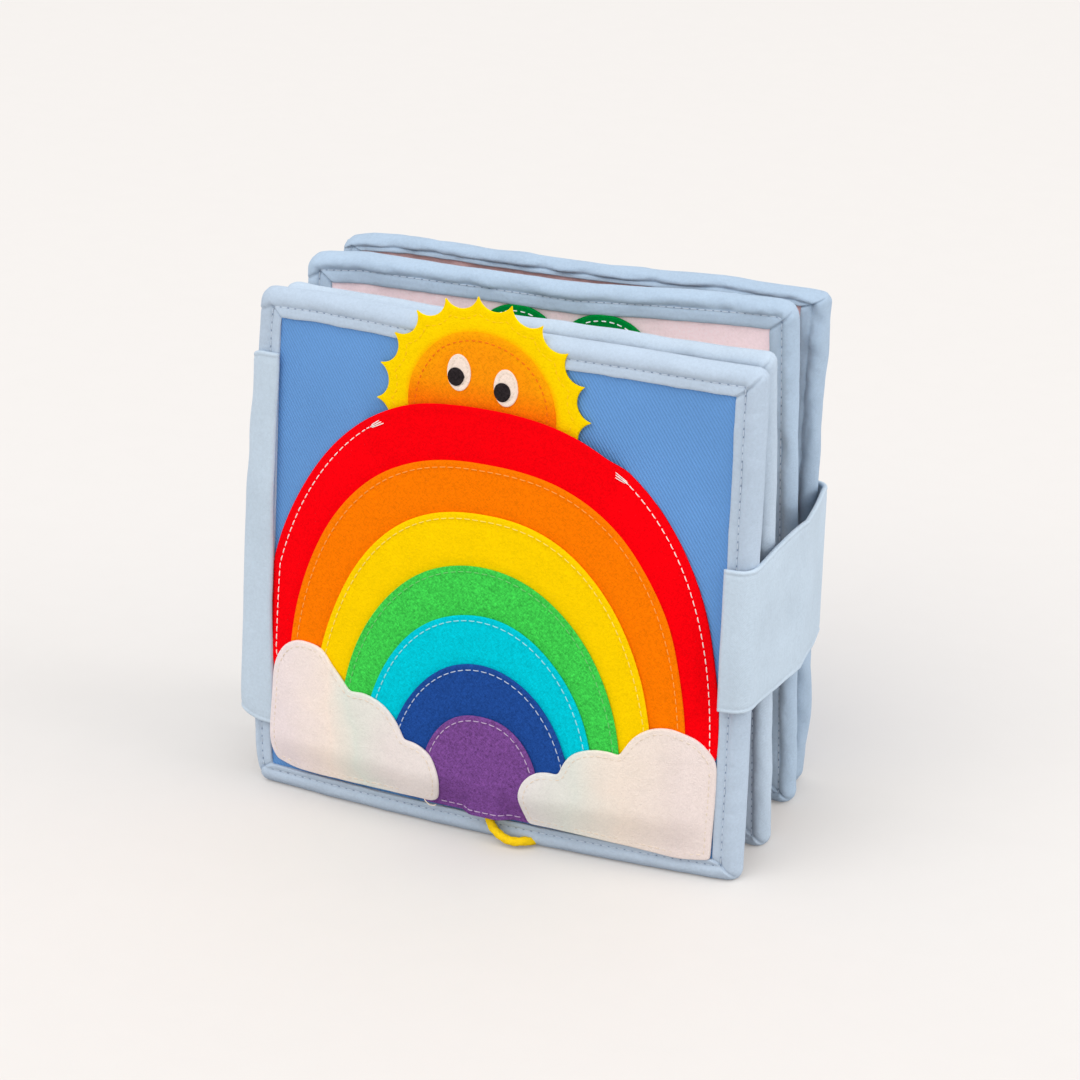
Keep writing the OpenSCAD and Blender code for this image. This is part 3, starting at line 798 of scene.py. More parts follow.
def photo_camera():
    a, e, roll = (math.radians(d) for d in (CAMERA_AZIMUTH, CAMERA_ELEVATION, CAMERA_ROLL))
    back = Vector((math.sin(a) * math.cos(e), -math.cos(a) * math.cos(e), math.sin(e)))
    right = Vector((math.cos(a), math.sin(a), 0))
    up = back.cross(right)
    turned_right = right * math.cos(roll) + up * math.sin(roll)
    turned_up = up * math.cos(roll) - right * math.sin(roll)
    data = bpy.data.cameras.new("photo_camera")
    data.sensor_width = 36
    data.lens = FOCAL_PX / PHOTO_PX * data.sensor_width
    data.clip_start, data.clip_end = 0.01, 50
    camera = bpy.data.objects.new("photo_camera", data)
    scene.collection.objects.link(camera)
    turn = Matrix((turned_right, turned_up, back)).transposed().to_4x4()
    eye = (Vector(CAMERA_TARGET) + back * CAMERA_DISTANCE) * MM
    camera.matrix_world = Matrix.Translation(eye) @ turn
    scene.camera = camera


CORD_SIDES = 20
BRAID_STRANDS = 4
BRAID_LAY = 3.4
BRAID_DEPTH = 0.34


def spline(points, per_span):
    """Smooth curve through points (Catmull-Rom)."""
    p = np.asarray(points, float)
    p = np.vstack([2 * p[0] - p[1], p, 2 * p[-1] - p[-2]])
    t = np.linspace(0, 1, per_span, endpoint=False)[:, None]
    out = []
    for a, b, c, d in zip(p, p[1:], p[2:], p[3:]):
        square, cube = 2 * a - 5 * b + 4 * c - d, 3 * b - a - 3 * c + d
        out.append(0.5 * (2 * b + (c - a) * t + square * t * t + cube * t ** 3))
    return np.vstack(out + [p[-2][None]])


def pull_cord():
    line = resample(spline(CORD_ROUTE, 24), 0.3, closed=False)
    line = on_leaf("front_cover", line)
    along = np.gradient(line, axis=0)
    along /= np.linalg.norm(along, axis=1)[:, None]
    side = np.cross(along, (0.3, 0.6, 0.74))
    side /= np.linalg.norm(side, axis=1)[:, None]
    up = np.cross(side, along)
    s = np.concatenate([[0], np.cumsum(np.linalg.norm(np.diff(line, axis=0), axis=1))])[:, None]
    angle = (np.arange(CORD_SIDES) * 2 * math.pi / CORD_SIDES)[None, :]
    turn = 2 * math.pi * s / (BRAID_LAY * 2)
    one = np.cos(BRAID_STRANDS * angle / 2 + turn) ** 2
    other = np.cos(BRAID_STRANDS * angle / 2 - turn) ** 2
    radius = CORD_D / 2 + BRAID_DEPTH * (np.maximum(one, other) - 0.75)
    ring = np.cos(angle)[..., None] * side[:, None] + np.sin(angle)[..., None] * up[:, None]
    points = line[:, None] + radius[..., None] * ring
    rings = len(line)
    faces = grid_faces(rings, CORD_SIDES, wrap_columns=True)
    faces.append(list(range(CORD_SIDES)))
    faces.append([(rings - 1) * CORD_SIDES + k for k in reversed(range(CORD_SIDES))])
    cord = add_piece(
        "pull_cord_braid", points.reshape(-1, 3), faces, mat_cord, None, ["pull_cord"]
    )
    still, drawn = (on_leaf("front_cover", [(x, 0, z)])[0] * MM for x, z in (CORD_STILL, CORD_DRAWN))
    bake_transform(cord)


# Leaves: padded page and its binding


# Width of the binding that shows on the left, right, bottom and top of each leaf
LIPS = {
    "front_cover": (10.9, 9.9, 9.3, 10.4), "second_leaf": (9.0, 9.5, 9.0, 10.5),
    "third_leaf": (11.8, 10.2, 9.0, 10.6), "back_cover": (9.4, 10.2, 9.0, 5.4),
}
SIDE_POINTS, CORNER_POINTS = 130, 14
CORNER_CROWDING = 0.75
# Section of the binding: place between outer edge (0), seam (0.5) and inner edge (1), and the leaf's own Y
BINDING_HALF = (
    (1.0, 0.56), (0.995, -0.1), (0.96, -0.38), (0.84, -0.34), (0.67, -0.14), (0.56, 0.12), (0.51, 0.42),
    (0.48, 0.25), (0.43, -0.2), (0.36, -0.45), (0.28, -0.35), (0.2, 0.15), (0.13, 0.95), (0.07, 2.0),
    (0.025, 3.3), (0.0, 5.0),
)
BINDING_INSIDE = ((1.0, LEAF_T - 0.62), (0.46, LEAF_T - 1.0), (0.46, 1.0), (1.0, 0.62))
SEAM_SHARE, SEAM_Y = 0.51, 0.34
# Pitch, length and thread radius of a row of stitches; a needle hole also has its start along the row. Needle
# holes are short dark stitches: painted shade in the holes.
TAPE_STITCH = (3.1, 2.4, 0.17)
NEEDLE_HOLE = (3.1, 0.75, 0.2, 2.4)
# Creases, puckers at the seam and wavers of the edges: depth, and length along the tape
LONG_CREASE, SHORT_CREASE, EDGE_RUN = 9, 4.2, 13
PUCKER, PUCKER_RUN = 0.16, 2.4
LIP_WAVER, LIP_RUN = 0.22, 5


def binding_loop(share, seam, lip, radii):
    """Rounded rectangle (x, z) at a share of the binding's width; seam and lip are for left, right, bottom,
    top, and radii for the corners at bottom right, top right, top left, bottom left."""
    x0, right, z0, top = (
        2 * share * s if share < 0.5 else s + (2 * share - 1) * (w - s) for s, w in zip(seam, lip)
    )
    x1, z1 = LEAF - right, LEAF - top
    br, tr, tl, bl = (max(r * (1 - 1.7 * share), 0.35) for r in radii)
    sides = (
        ((x0 + bl, z0), (x1 - br, z0)), ((x1, z0 + br), (x1, z1 - tr)),
        ((x1 - tr, z1), (x0 + tl, z1)), ((x0, z1 - tl), (x0, z0 + bl)),
    )
    corners = (
        (x1 - br, z0 + br, br, -90), (x1 - tr, z1 - tr, tr, 0),
        (x0 + tl, z1 - tl, tl, 90), (x0 + bl, z0 + bl, bl, 180),
    )
    t = np.linspace(0, 1, SIDE_POINTS, endpoint=False)[:, None]
    t = t - CORNER_CROWDING * np.sin(2 * math.pi * t) / (2 * math.pi)
    loop = []
    for (start, end), (cx, cz, r, first) in zip(sides, corners):
        loop.append(np.array(start) + t * (np.array(end) - np.array(start)))
        angle = np.radians(first + 90 * np.linspace(0, 1, CORNER_POINTS, endpoint=False))
        loop.append(np.stack([cx + r * np.cos(angle), cz + r * np.sin(angle)], -1))
    return np.vstack(loop)


def corner_fold(x, z, lip):
    """Folded corner of the tape: a crease along the mitre, and the top strip's lap over the side strip.
    At the top left the top strip is wrapped round the outer edge."""
    left, right, bottom, top = lip
    dx = np.minimum(x / left, (LEAF - x) / right)
    dz = np.minimum(z / bottom, (LEAF - z) / top)
    wrapped = (x < LEAF / 2) & (z > LEAF / 2)
    near = smooth((1.25 - np.maximum(dx, dz)) / 0.2)
    near *= smooth((np.where(wrapped, dz, np.minimum(dx, dz)) - 0.1) / 0.12)
    mitre = dx + 0.12 * np.sin(3 * dx)
    off = np.where(wrapped, np.maximum(dx, 0.85 - 0.42 * dx), mitre) - dz
    crease = 0.75 * np.exp(-(off / 0.06) ** 2)
    lap = 0.42 * np.exp(-np.abs(off) / 0.3) * np.tanh(off / 0.05)
    return near * (lap - crease)


def binding(leaf, seam, radii, wrinkle, seed, faces_sewn=("front", "rear")):
    """Tape folded round a leaf's edges, creased and puckered, with its rows of stitches and needle holes,
    which are dark stitches of painted shade.
    """
    lip, body = LIPS[leaf], LEAF_BODY[leaf]
    half = list(BINDING_HALF)
    section = half + [(s, LEAF_T - y) for s, y in half[-2::-1]] + list(BINDING_INSIDE)
    shown = 2 * len(half) - 1
    guide = binding_loop(0.25, seam, lip, radii)
    along = np.concatenate([[0], np.cumsum(np.linalg.norm(np.diff(guide, axis=0), axis=1))])
    loops = []
    for k, (share, y) in enumerate(section):
        xz = binding_loop(share, seam, lip, radii)
        out = np.full(len(xz), float(y))
        x, z = xz[:, 0].copy(), xz[:, 1].copy()
        if k < shown:
            face = -1.0 if k < len(half) else 1.0
            puff = smooth((0.5 - abs(share - 0.28)) / 0.35) if share < 0.5 else 0.25
            side_seed = seed + (0 if k < len(half) else 50)
            creases = noise(along / LONG_CREASE, share * 2.5, side_seed)
            creases += 0.6 * noise(along / SHORT_CREASE, share * 4, side_seed + 1)
            out += face * wrinkle * puff * creases * min(1.0, abs(y - 5) / 3)
            pucker = PUCKER * math.exp(-((share - SEAM_SHARE) / 0.14) ** 2)
            out += face * pucker * noise(along / PUCKER_RUN, share * 6, side_seed + 2)
            out += face * corner_fold(x, z, lip) * min(1.0, abs(y - 5) / 4)
            away = wrinkle * 0.8 * smooth((0.3 - share) / 0.3) * noise(along / EDGE_RUN, 7.5, side_seed + 3)
            cx, cz = x - LEAF / 2, z - LEAF / 2
            x += np.sign(cx) * away * (np.abs(cx) > np.abs(cz))
            z += np.sign(cz) * away * (np.abs(cz) > np.abs(cx))
            if share > 0.9:
                x += LIP_WAVER * noise(along / LIP_RUN, 3.5, seed + 7)
                z += LIP_WAVER * noise(along / LIP_RUN, 9.5, seed + 8)
        loops.append(np.stack([x, out, z], -1))
    rows, columns = len(section), len(loops[0])
    points = np.vstack(loops)
    faces = grid_faces(rows, columns, wrap_rows=True, wrap_columns=True)
    piece = add_piece(
        f"{leaf}_edge_tape", on_leaf(leaf, points), faces, mat_shaded_binding[leaf], body,
        [f"{leaf}_binding"],
    )
    for face_name, y, up in (("front", SEAM_Y, -1), ("rear", LEAF_T - SEAM_Y, 1)):
        if face_name not in faces_sewn:
            continue
        xz = binding_loop(SEAM_SHARE, seam, lip, radii)
        path = resample(np.stack([xz[:, 0], np.full(len(xz), y), xz[:, 1]], -1), 0.8)
        seam_rows = (("seam", TAPE_STITCH, mat_tape_thread), ("holes", NEEDLE_HOLE, mat_hole_shade_thread))
        for row, stitch, material in seam_rows:
            stitches = thread_stitches(path, (0, up, 0), *stitch)
            stitch_piece(f"{leaf}_{face_name}_{row}", [stitches], material, body, leaf)


PAD_CELLS = 58
PAD_FACE = TAPE_T + 0.05
SIM_FRAMES = 20
PAD_PRESSURE = 4.0
PAD_SLACK = 0.012


def pad_lines(low, high):
    """Grid lines across a page, close together where it goes under the tape at either end."""
    inner = np.linspace(low + 1.6, LEAF - high - 1.6, PAD_CELLS - 7)
    start, end = [PAD_INSET, low - 2.2, low - 1.0, low], LEAF - high
    return np.concatenate([start, inner, [end, end + 1.0, end + 2.2, LEAF - PAD_INSET]])


def pad_points(lip, crown_front, crown_rear, seed):
    """Closed page in a leaf's frame: two faces of a grid, crowned inside the binding and lower under it."""
    left, right, bottom, top = lip
    x, z = np.meshgrid(pad_lines(left, right), pad_lines(bottom, top))
    shown = np.minimum.reduce([x - left, LEAF - right - x, z - bottom, LEAF - top - z])
    swell = smooth(shown / 45) ** 0.5
    hidden = 0.9 * smooth((-0.6 - shown) / 1.5)
    front = PAD_FACE - (crown_front - 0.18 * noise(x / 17, z / 17, seed)) * swell + hidden
    rear = LEAF_T - PAD_FACE + (crown_rear + 0.18 * noise(x / 19, z / 19, seed + 1)) * swell - hidden
    points = np.vstack([np.stack([x.ravel(), y.ravel(), z.ravel()], -1) for y in (front, rear)])
    return points, two_sided(*x.shape), np.tile(shown.ravel(), 2)


def blown_up(points, faces, pinned, caps):
    """Cloth simulation of a closed page under a little air pressure. caps limit its two faces' movement."""
    mesh = bpy.data.meshes.new("pad_trial")
    mesh.from_pydata((points * MM).tolist(), [], [list(map(int, f)) for f in faces])
    trial = bpy.data.objects.new("pad_trial", mesh)
    scene.collection.objects.link(trial)
    trial.vertex_groups.new(name="held").add(np.flatnonzero(pinned).tolist(), 1.0, "REPLACE")
    cloth = trial.modifiers.new("cloth", "CLOTH")
    cloth.settings.quality = 5
    cloth.settings.mass = 0.2
    cloth.settings.use_pressure = True
    cloth.settings.uniform_pressure_force = PAD_PRESSURE
    cloth.settings.shrink_min = -PAD_SLACK
    cloth.settings.vertex_group_mass = "held"
    cloth.settings.effector_weights.gravity = 0
    for number in range(1, SIM_FRAMES + 1):
        scene.frame_set(number)
    shaped = trial.evaluated_get(bpy.context.evaluated_depsgraph_get()).data
    moved = np.empty(len(points) * 3)
    shaped.vertices.foreach_get("co", moved)
    moved = moved.reshape(-1, 3) / MM - points
    bpy.data.objects.remove(trial)
    bpy.data.meshes.remove(mesh)
    scene.frame_set(1)
    far = np.linalg.norm(moved, axis=1)
    cap = np.repeat(caps, len(points) // 2)
    return points + moved * (cap * np.tanh(far / cap) / np.maximum(far, 1e-9))[:, None]


def page(leaf, front_cloth, rear_cloth, crowns, caps, seed):
    """Padded page: crowns are how far its two faces stand out, and caps how far the air moves them."""
    points, faces, shown = pad_points(LIPS[leaf], *crowns, seed)
    points = blown_up(points, faces, shown < 1.0, caps)
    piece = add_piece(
        f"{leaf}_padding", on_leaf(leaf, points), faces, front_cloth, LEAF_BODY[leaf], [f"{leaf}_pad"]
    )
    piece.data.materials.append(rear_cloth)
    half = len(points) // 2
    for polygon in piece.data.polygons:
        polygon.material_index = int(min(polygon.vertices) >= half)


# Rainbow


# How each hand-cut band differs from an even fan: shift of its middle, half width, height, the share of its
# height that is straight, and the fullness of its shoulders
BAND_TRIM = (
    (-1.6, 2.1, -0.5, 0.2, 2.4), (-0.5, 0.7, -1.6, 0.17, 2.44), (-0.9, 1.1, -1.1, 0.02, 2.35),
    (-1.1, -1.7, -1.6, 0.215, 2.06), (-0.9, -1.2, -0.9, 0.185, 2.04), (0.2, -0.1, -0.4, 0.155, 2.0),
    (1.1, -2.3, -1.1, 0.035, 2.3),
)


def band_x(i):
    return RAINBOW_X + BAND_TRIM[i][0]


def band_half_w(i):
    return RED_HALF_W - i * BAND_STEP + BAND_TRIM[i][1]


def band_h(i):
    return RED_H - i * BAND_DROP + BAND_TRIM[i][2]


def arch_curve(i, degrees, inset=0.0):
    """Band i's curved top, at angles from its right side over to its left."""
    a, (leg, full) = np.radians(degrees), BAND_TRIM[i][3:]
    power, h = 2 / full, band_h(i) - inset
    across = np.sign(np.cos(a)) * np.abs(np.cos(a)) ** power
    upward = leg + (1 - leg) * np.abs(np.sin(a)) ** power
    return np.stack([(band_half_w(i) - inset) * across, h * upward], -1)


# Room kept from the leaf's left and right edges, and more of it low down: amount, height below which, and run
RED_LEFT, RED_RIGHT = 10.7, 9.6
LEFT_STEPS, RIGHT_STEPS = ((1.8, 60, 8), (3.0, 27, 10)), ((2.2, 52, 8),)


def between_strips(outline, inset=0.0):
    """Keeps the red band's sides beside the binding, and its feet behind the clouds."""
    x, z = outline[:, 0], outline[:, 1]
    left, right = (
        room + sum(amount * smooth((height - z) / run) for amount, height, run in steps)
        for room, steps in ((RED_LEFT, LEFT_STEPS), (RED_RIGHT, RIGHT_STEPS))
    )
    outline[:, 0] = np.clip(x, left + inset, LEAF - right - 0.7 * inset)
    return outline


def arch_outline(i, spacing=1.3):
    half_w = band_half_w(i)
    outline = np.vstack([[[-half_w, 0.0], [half_w, 0.0]], arch_curve(i, np.linspace(0, 180, 181))])
    outline = between_strips(resample(outline, 0.5) + (band_x(i), RAINBOW_Z))
    return resample(outline, spacing)


def arch_depth(i, x, z):
    """About how far a point lies inside band i's outer edge."""
    half_w, h, (leg, full) = band_half_w(i), band_h(i), BAND_TRIM[i][3:]
    dx = np.abs(x - band_x(i)) / half_w
    dz = np.maximum(z - RAINBOW_Z - leg * h, 0) / ((1 - leg) * h)
    return (1 - (dx ** full + dz ** full) ** (1 / full)) * half_w


MOUTH_X, MOUTH_HALF = SUN_AT[0] + 4, 46.0


def pocket_height(x, z):
    """Height of the red felt's back above the pad: sewn down at its edge, open at the top for the sun."""
    swell = smooth(arch_depth(0, x, z) / 13)
    mouth = smooth((MOUTH_HALF + 8 - np.abs(x - MOUTH_X)) / 9) * smooth((z - 110) / 25)
    foot = smooth((z - RAINBOW_Z + 2) / 17)
    slot = smooth((11 - np.abs(x - CORD_SLOT_X)) / 6)
    return 0.25 + (POCKET_DEPTH - 0.25) * np.maximum(swell, mouth) * np.maximum(foot, slot)


def layer_squeeze(z):
    """The layers lie closer together where they are sewn down along the foot of the rainbow."""
    return 0.7 + 0.3 * smooth((z - RAINBOW_Z) / 14)


def band_front(i, x, z):
    """Front of band i: pressed in along its seam and along the edge of the next band on it."""
    pressed = 0.22 * np.exp(-((arch_depth(i, x, z) - STITCH_INSET[i]) / 0.9) ** 2)
    if i + 1 < len(BAND_NAMES):
        pressed = pressed + 0.42 * np.exp(-((arch_depth(i + 1, x, z) + 0.2) / 1.2) ** 2)
    return pocket_height(x, z) + FELT_T * (i + 1) * layer_squeeze(z) - pressed * (1 if i else 0.7)


def band_back(i, x, z):
    return pocket_height(x, z) + FELT_T * i * layer_squeeze(z) - 0.1


def hand_cut(outline, seed, amount=0.3):
    """Outline that wavers a little, as scissors cut it."""
    outline = anticlockwise(outline)
    s = np.arange(len(outline)) * 1.0
    return outline + inward(outline) * (amount * noise(s / 16, 0.5, seed))[:, None]


STITCH_INSET = (3.0, 2.4, 2.2, 2.2, 2.2, 2.2, 1.9)


def arch_stitch(i):
    """Path of the seam inside a band's outer edge, from the left foot to the right foot."""
    half_w = band_half_w(i) - STITCH_INSET[i]
    curve = arch_curve(i, np.linspace(180, 0, 361), STITCH_INSET[i])
    path = np.vstack([[[-half_w, 1.5]], curve, [[half_w, 1.5]]]) + (band_x(i), RAINBOW_Z)
    return resample(between_strips(resample(path, 0.3, closed=False), STITCH_INSET[i]), 0.6, closed=False)


TACK_LEFT, TACK_RIGHT = 56.0, 148.0
TACK_STROKES = ((-0.6, 5.4, 0.75), (0.0, 6.4, 0.0), (0.6, 5.0, -0.85))
BAND_SPACING, SEAM_LIFT, TACK_LIFT = 1.4, 0.06, 0.14
BAND_STITCH, FOOT_STITCH = (3.2, 2.3, 0.2), (3.2, 2.5, 0.2)
FOOT_SEAM_X = (84, 117)


def beside_mouth(path):
    """The red seam's two runs, left and right of the pocket's mouth."""
    x, high = path[:, 0], path[:, 1] > RAINBOW_Z + 100
    left = ~(high & (x > TACK_LEFT)) & (x < RAINBOW_X)
    right = ~(high & (x < TACK_RIGHT)) & (x > RAINBOW_X)
    return [path[left], path[right]]


def bar_tacks(runs, front):
    """Stitches sewn back and forth where the red seam ends at the pocket's mouth."""
    rows = []
    for run, last in ((runs[0], -1), (runs[1], 0)):
        end = run[last]
        towards = run[last - 12 if last else 12] - end
        towards = towards / np.linalg.norm(towards)
        across = np.array([-towards[1], towards[0]])
        for start, stop, side in TACK_STROKES:
            run_on = np.linspace(start, stop, 30)[:, None]
            path = end + towards * run_on + across * side * (1 - 0.1 * run_on)
            rows.append(thread_stitches(sewn(path, front, TACK_LIFT), OUTWARDS, 20, stop - start - 0.2, 0.19))
    return rows


def rainbow():
    for i, name in enumerate(BAND_NAMES):
        back, front = partial(band_back, i), partial(band_front, i)
        outline = round_off(hand_cut(arch_outline(i), 60 + i), 2)
        piece = felt_piece(
            f"{name}_band_felt", outline, back, front, BAND_SPACING, mat_bands[i], "front_cover",
            f"{name}_band",
        )
        laid_sheet(outline)
        path = arch_stitch(i)
        runs = [path] if i else beside_mouth(path)
        rows = [thread_stitches(sewn(run, front, SEAM_LIFT), OUTWARDS, *BAND_STITCH) for run in runs]
        if i == 0:
            rows += bar_tacks(runs, front)
        if i == len(BAND_NAMES) - 1:
            foot = np.stack([np.linspace(*FOOT_SEAM_X, 60), np.full(60, RAINBOW_Z + 2.2)], -1)
            rows.append(thread_stitches(sewn(foot, front, SEAM_LIFT), OUTWARDS, *FOOT_STITCH))
        stitch_piece(f"{name}_band_stitches", rows, mat_thread[i], "front_cover")


# Clouds


# Places (x, z) on the front cover that each cloud's outline passes, lobe by lobe, then along its foot
LEFT_CLOUD = (
    ((14, 13), (12, 18.5), (11.8, 27), (12.6, 41), (13.5, 53), (17.3, 61.7), (23, 66), (29, 66.3),
     (34.5, 64.6), (39, 59.2), (46.3, 51)),
    ((46.3, 51), (52, 51.5), (57, 50.5), (61, 48.7), (65, 45), (68, 41), (70, 37)),
    ((70, 37), (73.6, 36.8), (78.5, 35), (82, 32), (84.8, 25), (84.3, 19), (82.8, 14.2), (79.8, 12.7)),
    ((79.8, 12.7), (58, 12), (40, 11.3), (23, 11), (14, 13)),
)
RIGHT_CLOUD = (
    ((189.6, 9.1), (190, 21), (190.5, 37), (190.2, 47), (187.8, 52), (183, 57.3), (176, 60.5), (170.5, 60.6),
     (165, 58.8), (160, 54.6), (155.4, 47.2)),
    ((155.4, 47.2), (152, 48.1), (147, 48.1), (142, 47), (138, 45), (135, 41.5), (132.6, 35.8)),
    ((132.6, 35.8), (129, 36), (124, 34.9), (119.5, 31), (117.4, 25), (118.3, 18), (120, 12)),
    ((120, 12), (141.5, 10.9), (163.5, 9.2), (178, 8), (189.6, 9.1)),
)


def cloud_outline(lobes):
    """Closed outline through each lobe's places, with a corner where two lobes meet."""
    outline = np.vstack([spline(lobe, 10)[:-1] for lobe in lobes])
    return round_off(resample(anticlockwise(outline), 1.0), 2)


def cloud_back(x, z):
    """Back of a cloud: it lies on the bands, with soft steps from one to the next."""
    layers = sum(smooth((arch_depth(i, x, z) + 4) / 10) for i in range(len(BAND_NAMES)))
    return pocket_height(x, z) + FELT_T * layers * layer_squeeze(z) + 0.05


def inset_path(outline, distance, spacing=0.6):
    """Path of a seam at a distance inside an outline."""
    outline = anticlockwise(outline)
    path = outline + inward(outline) * distance
    path = path[nearest(path, outline) > 0.96 * distance]
    return resample(path, spacing)


CLOUD_TAIL = ((77.6, 13.2), (79.2, 11.6), (81.2, 11.2), (82.8, 12.4), (83.4, 14.2))
CLOUD_SPACING = 1.9
CLOUD_STITCH, TAIL_STITCH = (2.6, 1.9, 0.2), (40, 6.0, 0.22)


def clouds():
    pair = (("left", LEFT_CLOUD, mat_left_cloud), ("right", RIGHT_CLOUD, mat_right_cloud))
    for side, lobes, material in pair:
        outline = hand_cut(cloud_outline(lobes), 80 + len(side), 0.15)
        seam = inset_path(outline, 2.3)

        def front(x, z):
            return cloud_back(x, z) + CLOUD_T - groove(x, z, seam, 0.3, 0.9)

        piece = felt_piece(
            f"{side}_cloud_felt", outline, cloud_back, front, CLOUD_SPACING, material, "front_cover",
            f"{side}_cloud",
        )
        laid_sheet(outline)
        rows = [seam_round(seam, front, CLOUD_STITCH)]
        if side == "left":
            rows.append(thread_stitches(sewn(spline(CLOUD_TAIL, 8), front, 0.5), OUTWARDS, *TAIL_STITCH))
        stitch_piece(f"{side}_cloud_stitches", rows, mat_cream_thread, "front_cover")


# Sun


def sun_outline():
    half = math.pi / SUN_RAYS_N
    chord = SUN_R * math.sin(half)
    depth = SUN_R * math.cos(half) - SUN_VALLEY_R
    scallop_r = (chord * chord + depth * depth) / (2 * depth)
    spread = math.asin(chord / scallop_r)
    points = []
    for k in range(SUN_RAYS_N):
        middle = math.radians(SUN_PHASE) + (2 * k + 1) * half
        centre = (SUN_VALLEY_R + scallop_r) * np.array([math.cos(middle), math.sin(middle)])
        for s in np.linspace(-spread, spread, 16, endpoint=False):
            angle = middle + math.pi - s
            points.append(centre + scallop_r * np.array([math.cos(angle), math.sin(angle)]))
    return round_off(resample(np.array(points), 0.7), 1) + SUN_AT


def circle_outline(at, rx, rz, spacing):
    a = np.linspace(0, 2 * math.pi, 120, endpoint=False)
    return resample(np.stack([at[0] + rx * np.cos(a), at[1] + rz * np.sin(a)], -1), spacing)


def from_sun(x, z):
    return np.hypot(x - SUN_AT[0], z - SUN_AT[1])


SUN_SPACING, EYE_SPACING, PUPIL_SPACING = 1.6, 0.7, 0.5
RAY_STITCH, FACE_STITCH, EYE_STITCH = (2.7, 1.9, 0.2), (2.6, 1.6, 0.22), (1.5, 1.1, 0.14)
# How far each felt layer of the sun reaches into the one below it
LAYER_LAP = 0.1


def sun():
    outline = sun_outline()
    seam = inset_path(outline, 3.6)

    def rays_front(x, z):
        return RAYS_TOP - groove(x, z, seam, 0.3, 0.8) - 0.15 * smooth((from_sun(x, z) - 36) / 6)

    rays = felt_piece(
        "sun_rays_felt", outline, level(SUN_BACK), rays_front, SUN_SPACING, mat_sun, "sun",
        "sun_rays",
    )
    laid_sheet(outline)
    rows = [seam_round(seam, rays_front, RAY_STITCH, 0.02)]
    stitch_piece("sun_rays_stitches", rows, mat_gold_thread, "sun")

    ring = hand_cut(circle_outline(SUN_AT, SUN_FACE_R - 3.0, SUN_FACE_R - 3.0, 0.6), 91, 0.5)

    def face_front(x, z):
        return FACE_TOP - groove(x, z, ring, 0.25, 0.8) - 0.3 * smooth((from_sun(x, z) - 26) / 3.4)

    disc = hand_cut(circle_outline(SUN_AT, SUN_FACE_R, SUN_FACE_R, 0.9), 92)
    face = felt_piece(
        "sun_face_felt", disc, level(RAYS_TOP - LAYER_LAP), face_front, SUN_SPACING, mat_face, "sun",
        "sun_face",
    )
    laid_sheet(disc)
    rows = [seam_round(ring, face_front, FACE_STITCH, 0.02)]
    stitch_piece("sun_face_stitches", rows, mat_rust_thread, "sun")
    for side, (dx, dz) in EYES.items():
        eye(side, (SUN_AT[0] + dx, SUN_AT[1] + dz))


def eye(side, at):
    rim = circle_outline((at[0] + 0.3, at[1] + 0.5), EYE_W / 2 - 1.5, EYE_H / 2 - 1.8, 0.4)

    def eye_front(x, z):
        spot = np.stack([x, z], -1)
        within = 0.1 * inside(spot, rim) * smooth(nearest(spot, rim) / 0.6)
        return EYE_TOP - groove(x, z, rim, 0.24, 0.5) - within

    def pupil_front(x, z):
        return PUPIL_TOP + 0.12 * noise(x / 0.8, z / 0.8, 96)

    oval = hand_cut(circle_outline(at, EYE_W / 2, EYE_H / 2, 0.5), 93 + len(side), 0.15)
    felt_piece(
        f"{side}_eye_felt", oval, level(FACE_TOP - LAYER_LAP), eye_front, EYE_SPACING, mat_eye, "sun",
        f"{side}_eye",
    )
    stitch_piece(f"{side}_eye_stitches", [seam_round(rim, eye_front, EYE_STITCH)], mat_cream_thread, "sun")
    centre = (at[0] + PUPIL_SHIFT[0], at[1] + PUPIL_SHIFT[1])
    dot = hand_cut(circle_outline(centre, PUPIL_R, PUPIL_R * 1.04, 0.3), 95 + len(side), 0.45)
    felt_piece(
        f"{side}_pupil_felt", dot, level(EYE_TOP - LAYER_LAP), pupil_front, PUPIL_SPACING, mat_pupil, "sun",
        f"{side}_pupil",
    )


# Green lobes on the third leaf

BUSH_TOP = 190.0
BUSH_LOBES = ((90.0, 18.0), (124.0, 21.5))
BUSH_FOOT = 144.0
BUSH_BACK, BUSH_FRONT = 0.15, 1.55
BUSH_STITCH = (3.2, 2.2, 0.26)


def bush():
    (left, left_r), (right, right_r) = BUSH_LOBES
    x = np.linspace(left - left_r + 0.02, right + right_r - 0.02, 200)
    foot = np.full_like(x, BUSH_FOOT)
    top = foot
    for at, r in BUSH_LOBES:
        arc = np.sqrt(np.maximum(r * r - (x - at) ** 2, 0)) * (np.abs(x - at) < r)
        top = np.maximum(top, BUSH_TOP - r + arc)
    outline = np.vstack([np.stack([x, top], -1), np.stack([x[::-1], foot], -1)])
    outline = hand_cut(round_off(resample(anticlockwise(outline), 0.9), 3), 97, 0.25)
    seam = inset_path(outline, 2.4)

    def front(px, pz):
        return BUSH_FRONT - groove(px, pz, seam, 0.25, 0.8)

    piece = felt_piece(
        "green_bush_felt", outline, level(BUSH_BACK), front, CLOUD_SPACING, mat_green, "pages",
        "green_bush", "third_leaf",
    )
    laid_sheet(outline)
    rows = [seam_round(seam, front, BUSH_STITCH, 0.05)]
    stitch_piece("green_bush_stitches", rows, mat_white_thread, "pages", "third_leaf")


# Spine cover and strap: folded strips that follow a path seen from above


BACK_AT = np.array([BACK[0] - FRONT[0], FRONT_TO_BACK])


def from_back(p):
    """Plan point on the back cover, seen from the front cover's frame."""
    return BACK_AT + turned(p, BACK[2])


def to_back(p):
    return turned(np.asarray(p, float) - BACK_AT, -BACK[2])


